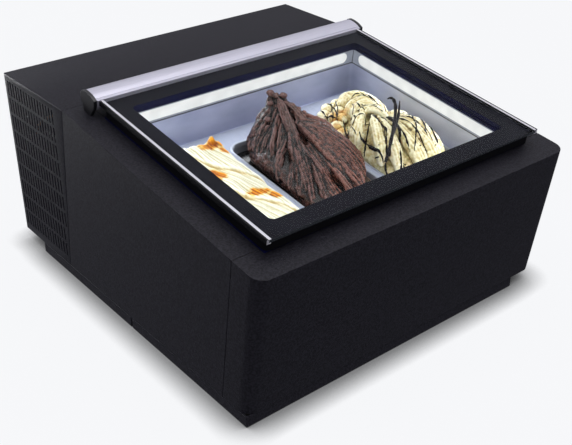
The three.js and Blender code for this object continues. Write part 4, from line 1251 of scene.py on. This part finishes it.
# ---------------------------------------------------------------- rear, feet and machinery
REAR_INNER_Y, REAR_FACE_Y = (corner.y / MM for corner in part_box("rear_service_panel"))
SCREW_COLUMNS, SCREW_ROWS, SCREW_MIDDLE_Z = (-302, -100, 100, 302), (34, 316), 175
LOUVRE_ROWS, LOUVRE_FIRST_Z, LOUVRE_PITCH = 12, 60, 18
LOUVRE_STARTS, LOUVRE_LENGTH = (-285, -95), 165


def screw_head(x, z):
    """A low domed head with a six-lobed recess, on the rear panel."""
    rings = []
    steps = 36
    for radius, rise, lobe in ((3.9, -0.1, 0), (3.9, 0.35, 0), (3.3, 0.95, 0), (2.0, 1.3, 0),
                               (1.55, 1.3, 0.28), (1.35, 0.45, 0.25)):
        ring = []
        for k in range(steps):
            angle = 2 * math.pi * k / steps
            reach = radius + lobe * math.cos(6 * angle)
            ring.append((x + reach * math.cos(angle), REAR_FACE_Y + rise, z + reach * math.sin(angle)))
        rings.append(ring)
    return loft(rings)


def rear_screws():
    places = [(x, z) for z in SCREW_ROWS for x in SCREW_COLUMNS]
    places += [(x, SCREW_MIDDLE_Z) for x in (SCREW_COLUMNS[0], SCREW_COLUMNS[-1])]
    mesh = mesh_from(joined([screw_head(x, z) for x, z in places]), "screws", FRAME_MM)
    add_piece("rear_panel_screws", mesh, materials["pin_steel"], "cabinet")


def louvre_blades():
    """Blades that slope down behind the rear panel's slots and hide the inside."""
    face = REAR_INNER_Y - 0.02
    blades = []
    for row in range(LOUVRE_ROWS):
        z = LOUVRE_FIRST_Z + LOUVRE_PITCH * row
        section = [(face, z + 2.2), (face, z + 3.1), (face - 5, z - 2.2), (face - 5, z - 3.1)]
        for x in LOUVRE_STARTS:
            blades.append(prism(section, "x", x, x + LOUVRE_LENGTH))
    add_piece("rear_louvre_blades", mesh_from(joined(blades), "blades", FRAME_MM),
              materials["black_powder_coat"], "cabinet")


def machinery():
    for nodes, width in (
        (("controller", "switch_housing", "power_inlet", "led_driver", "start_relay"), 0.5),
        (("power_rocker", "light_rocker", "button_down", "button_up", "button_set"), 0.45),
        (("foot_front_left", "foot_front_right", "foot_rear_left", "foot_rear_right"), 0.9),
        (("compressor", "compressor_base", "fan_motor", "filter_drier", "fan_shroud", "fan_bracket"), 0.4),
        (("discharge_pipe", "liquid_line", "suction_pipe", "hinge_pin_left", "hinge_pin_right"), 0.15),
    ):
        for node in nodes:
            refine(node, width, 2)
    rear_screws()
    louvre_blades()


machinery()


# ---------------------------------------------------------------- the rest of the CAD nodes
def dress_cad_nodes():
    for node, piece in frame["nodes"].items():
        if piece.hide_render:
            continue
        material = materials.get(slot_of[node])
        if material:
            piece.data.materials.clear()
            piece.data.materials.append(material)


# ---------------------------------------------------------------- studio
STUDIO_GREY = (0.905, 0.912, 0.930, 1)


def sky_gradient(tree):
    """A pale dome, bright overhead and dim from the horizon down."""
    background = tree.nodes["Background"]
    coords = tree.nodes.new("ShaderNodeTexCoord")
    split = tree.nodes.new("ShaderNodeSeparateXYZ")
    ramp = tree.nodes.new("ShaderNodeValToRGB")
    tree.links.new(coords.outputs["Generated"], split.inputs["Vector"])
    tree.links.new(split.outputs["Z"], ramp.inputs["Fac"])
    tree.links.new(ramp.outputs["Color"], background.inputs["Color"])
    low, high = ramp.color_ramp.elements
    low.position, low.color = 0.0, (0.20, 0.20, 0.23, 1)
    high.position, high.color = 0.85, (0.95, 0.95, 1.0, 1)
    background.inputs["Strength"].default_value = 0.85


def shine(name, place, target, size, power, colour, long_way=Vector((1, 0, 0)), spread=math.pi):
    """A rectangular lamp aimed at the target, its length along long_way."""
    lamp = bpy.data.lights.new(name, "AREA")
    lamp.shape = "RECTANGLE"
    lamp.size, lamp.size_y = size
    lamp.energy = power
    lamp.color = colour
    lamp.spread = spread
    holder = bpy.data.objects.new(name, lamp)
    bpy.context.scene.collection.objects.link(holder)
    backward = (place - target).normalized()
    length = (long_way - backward * long_way.dot(backward)).normalized()
    turn = Matrix((length, backward.cross(length), backward)).transposed().to_4x4()
    holder.matrix_world = Matrix.Translation(place) @ turn
    holder.visible_camera = False


def light_the_well():
    """The light that the four lamp windows throw onto the ice cream."""
    for name, place, target, length, way, power in (
        ("glow_front", (0, 66, -20), (0, 200, -90), 0.46, ACROSS, 0.12),
        ("glow_rear", (0, 444, -20), (0, 310, -90), 0.46, ACROSS, 0.13),
        ("glow_left", (-248, 255, -20), (-110, 255, -90), 0.34, ALONG, 0.085),
        ("glow_right", (248, 255, -20), (110, 255, -90), 0.34, ALONG, 0.12),
    ):
        start, end = DECK @ Vector(place), DECK @ Vector(target)
        shine(name, start, end, (length, 0.018), power, (0.93, 0.96, 1.0), way, math.radians(110))


def backdrop():
    """A pale dome far behind everything, seen but casting no light."""
    bm = bmesh.new()
    bmesh.ops.create_uvsphere(bm, u_segments=48, v_segments=24, radius=30)
    bmesh.ops.reverse_faces(bm, faces=bm.faces)
    dome_mesh = bpy.data.meshes.new("backdrop")
    bm.to_mesh(dome_mesh)
    bm.free()
    dome = bpy.data.objects.new("backdrop", dome_mesh)
    bpy.context.scene.collection.objects.link(dome)
    pale = Shader("studio_backdrop", (0.0, 0.0, 0.0), 1.0, Specular_IOR_Level=0.0)
    pale.set("Emission Color", STUDIO_GREY)
    pale.set("Emission Strength", 1.0)
    dome_mesh.materials.append(pale.material)
    for kind in ("visible_diffuse", "visible_glossy", "visible_shadow"):
        setattr(dome, kind, False)


def studio():
    backdrop()
    bm = bmesh.new()
    bmesh.ops.create_grid(bm, x_segments=2, y_segments=2, size=25)
    floor_mesh = mesh_from(bm, "floor")
    floor_paint = Shader("studio_floor", (0.02, 0.02, 0.021), 0.9, Specular_IOR_Level=0.0)
    # The floor glows an even pale grey, dimmed by ambient occlusion close to the cabinet: a painted contact
    # shadow.
    contact = floor_paint.nodes.new("ShaderNodeAmbientOcclusion")
    contact.samples = 16
    contact.inputs["Distance"].default_value = 0.048
    darken = floor_paint.nodes.new("ShaderNodeMath")
    darken.operation = "POWER"
    darken.inputs[1].default_value = 2.2
    floor_paint.links.new(contact.outputs["AO"], darken.inputs[0])
    floor_paint.set("Emission Color", STUDIO_GREY)
    floor_paint.links.new(darken.outputs["Value"], floor_paint.surface.inputs["Emission Strength"])
    floor = bpy.data.objects.new("floor", floor_mesh)
    bpy.context.scene.collection.objects.link(floor)
    floor_mesh.materials.append(floor_paint.material)
    floor.visible_diffuse = False
    floor.visible_glossy = False
    world = bpy.data.worlds.new("studio")
    bpy.context.scene.world = world
    world.use_nodes = True
    sky_gradient(world.node_tree)
    shine("overhead", Vector((-0.05, -0.3, 2.6)), Vector((0, 0, 0.2)), (2.6, 2.6), 38, (1.0, 0.99, 0.98))
    shine("front_left", Vector((-0.6, -2.6, 1.2)), Vector((0, 0, 0.2)), (1.2, 1.2), 6, (0.97, 0.98, 1.0))
    shine("rear_fill", Vector((-0.6, 2.6, 0.16)), Vector((0, 0.36, 0.17)), (1.6, 0.3), 7,
          (0.97, 0.98, 1.0), spread=math.radians(60))
    light_the_well()
    bpy.context.scene.view_settings.view_transform = "Standard"


def camera():
    data = bpy.data.cameras.new("camera")
    data.lens = 60.29
    holder = bpy.data.objects.new("camera", data)
    bpy.context.scene.collection.objects.link(holder)
    holder.location = (-0.9252, -1.1629, 0.9333)
    holder.rotation_euler = (1.0483, -0.0013, -0.6833)
    bpy.context.scene.camera = holder


dress_cad_nodes()
studio()
camera()
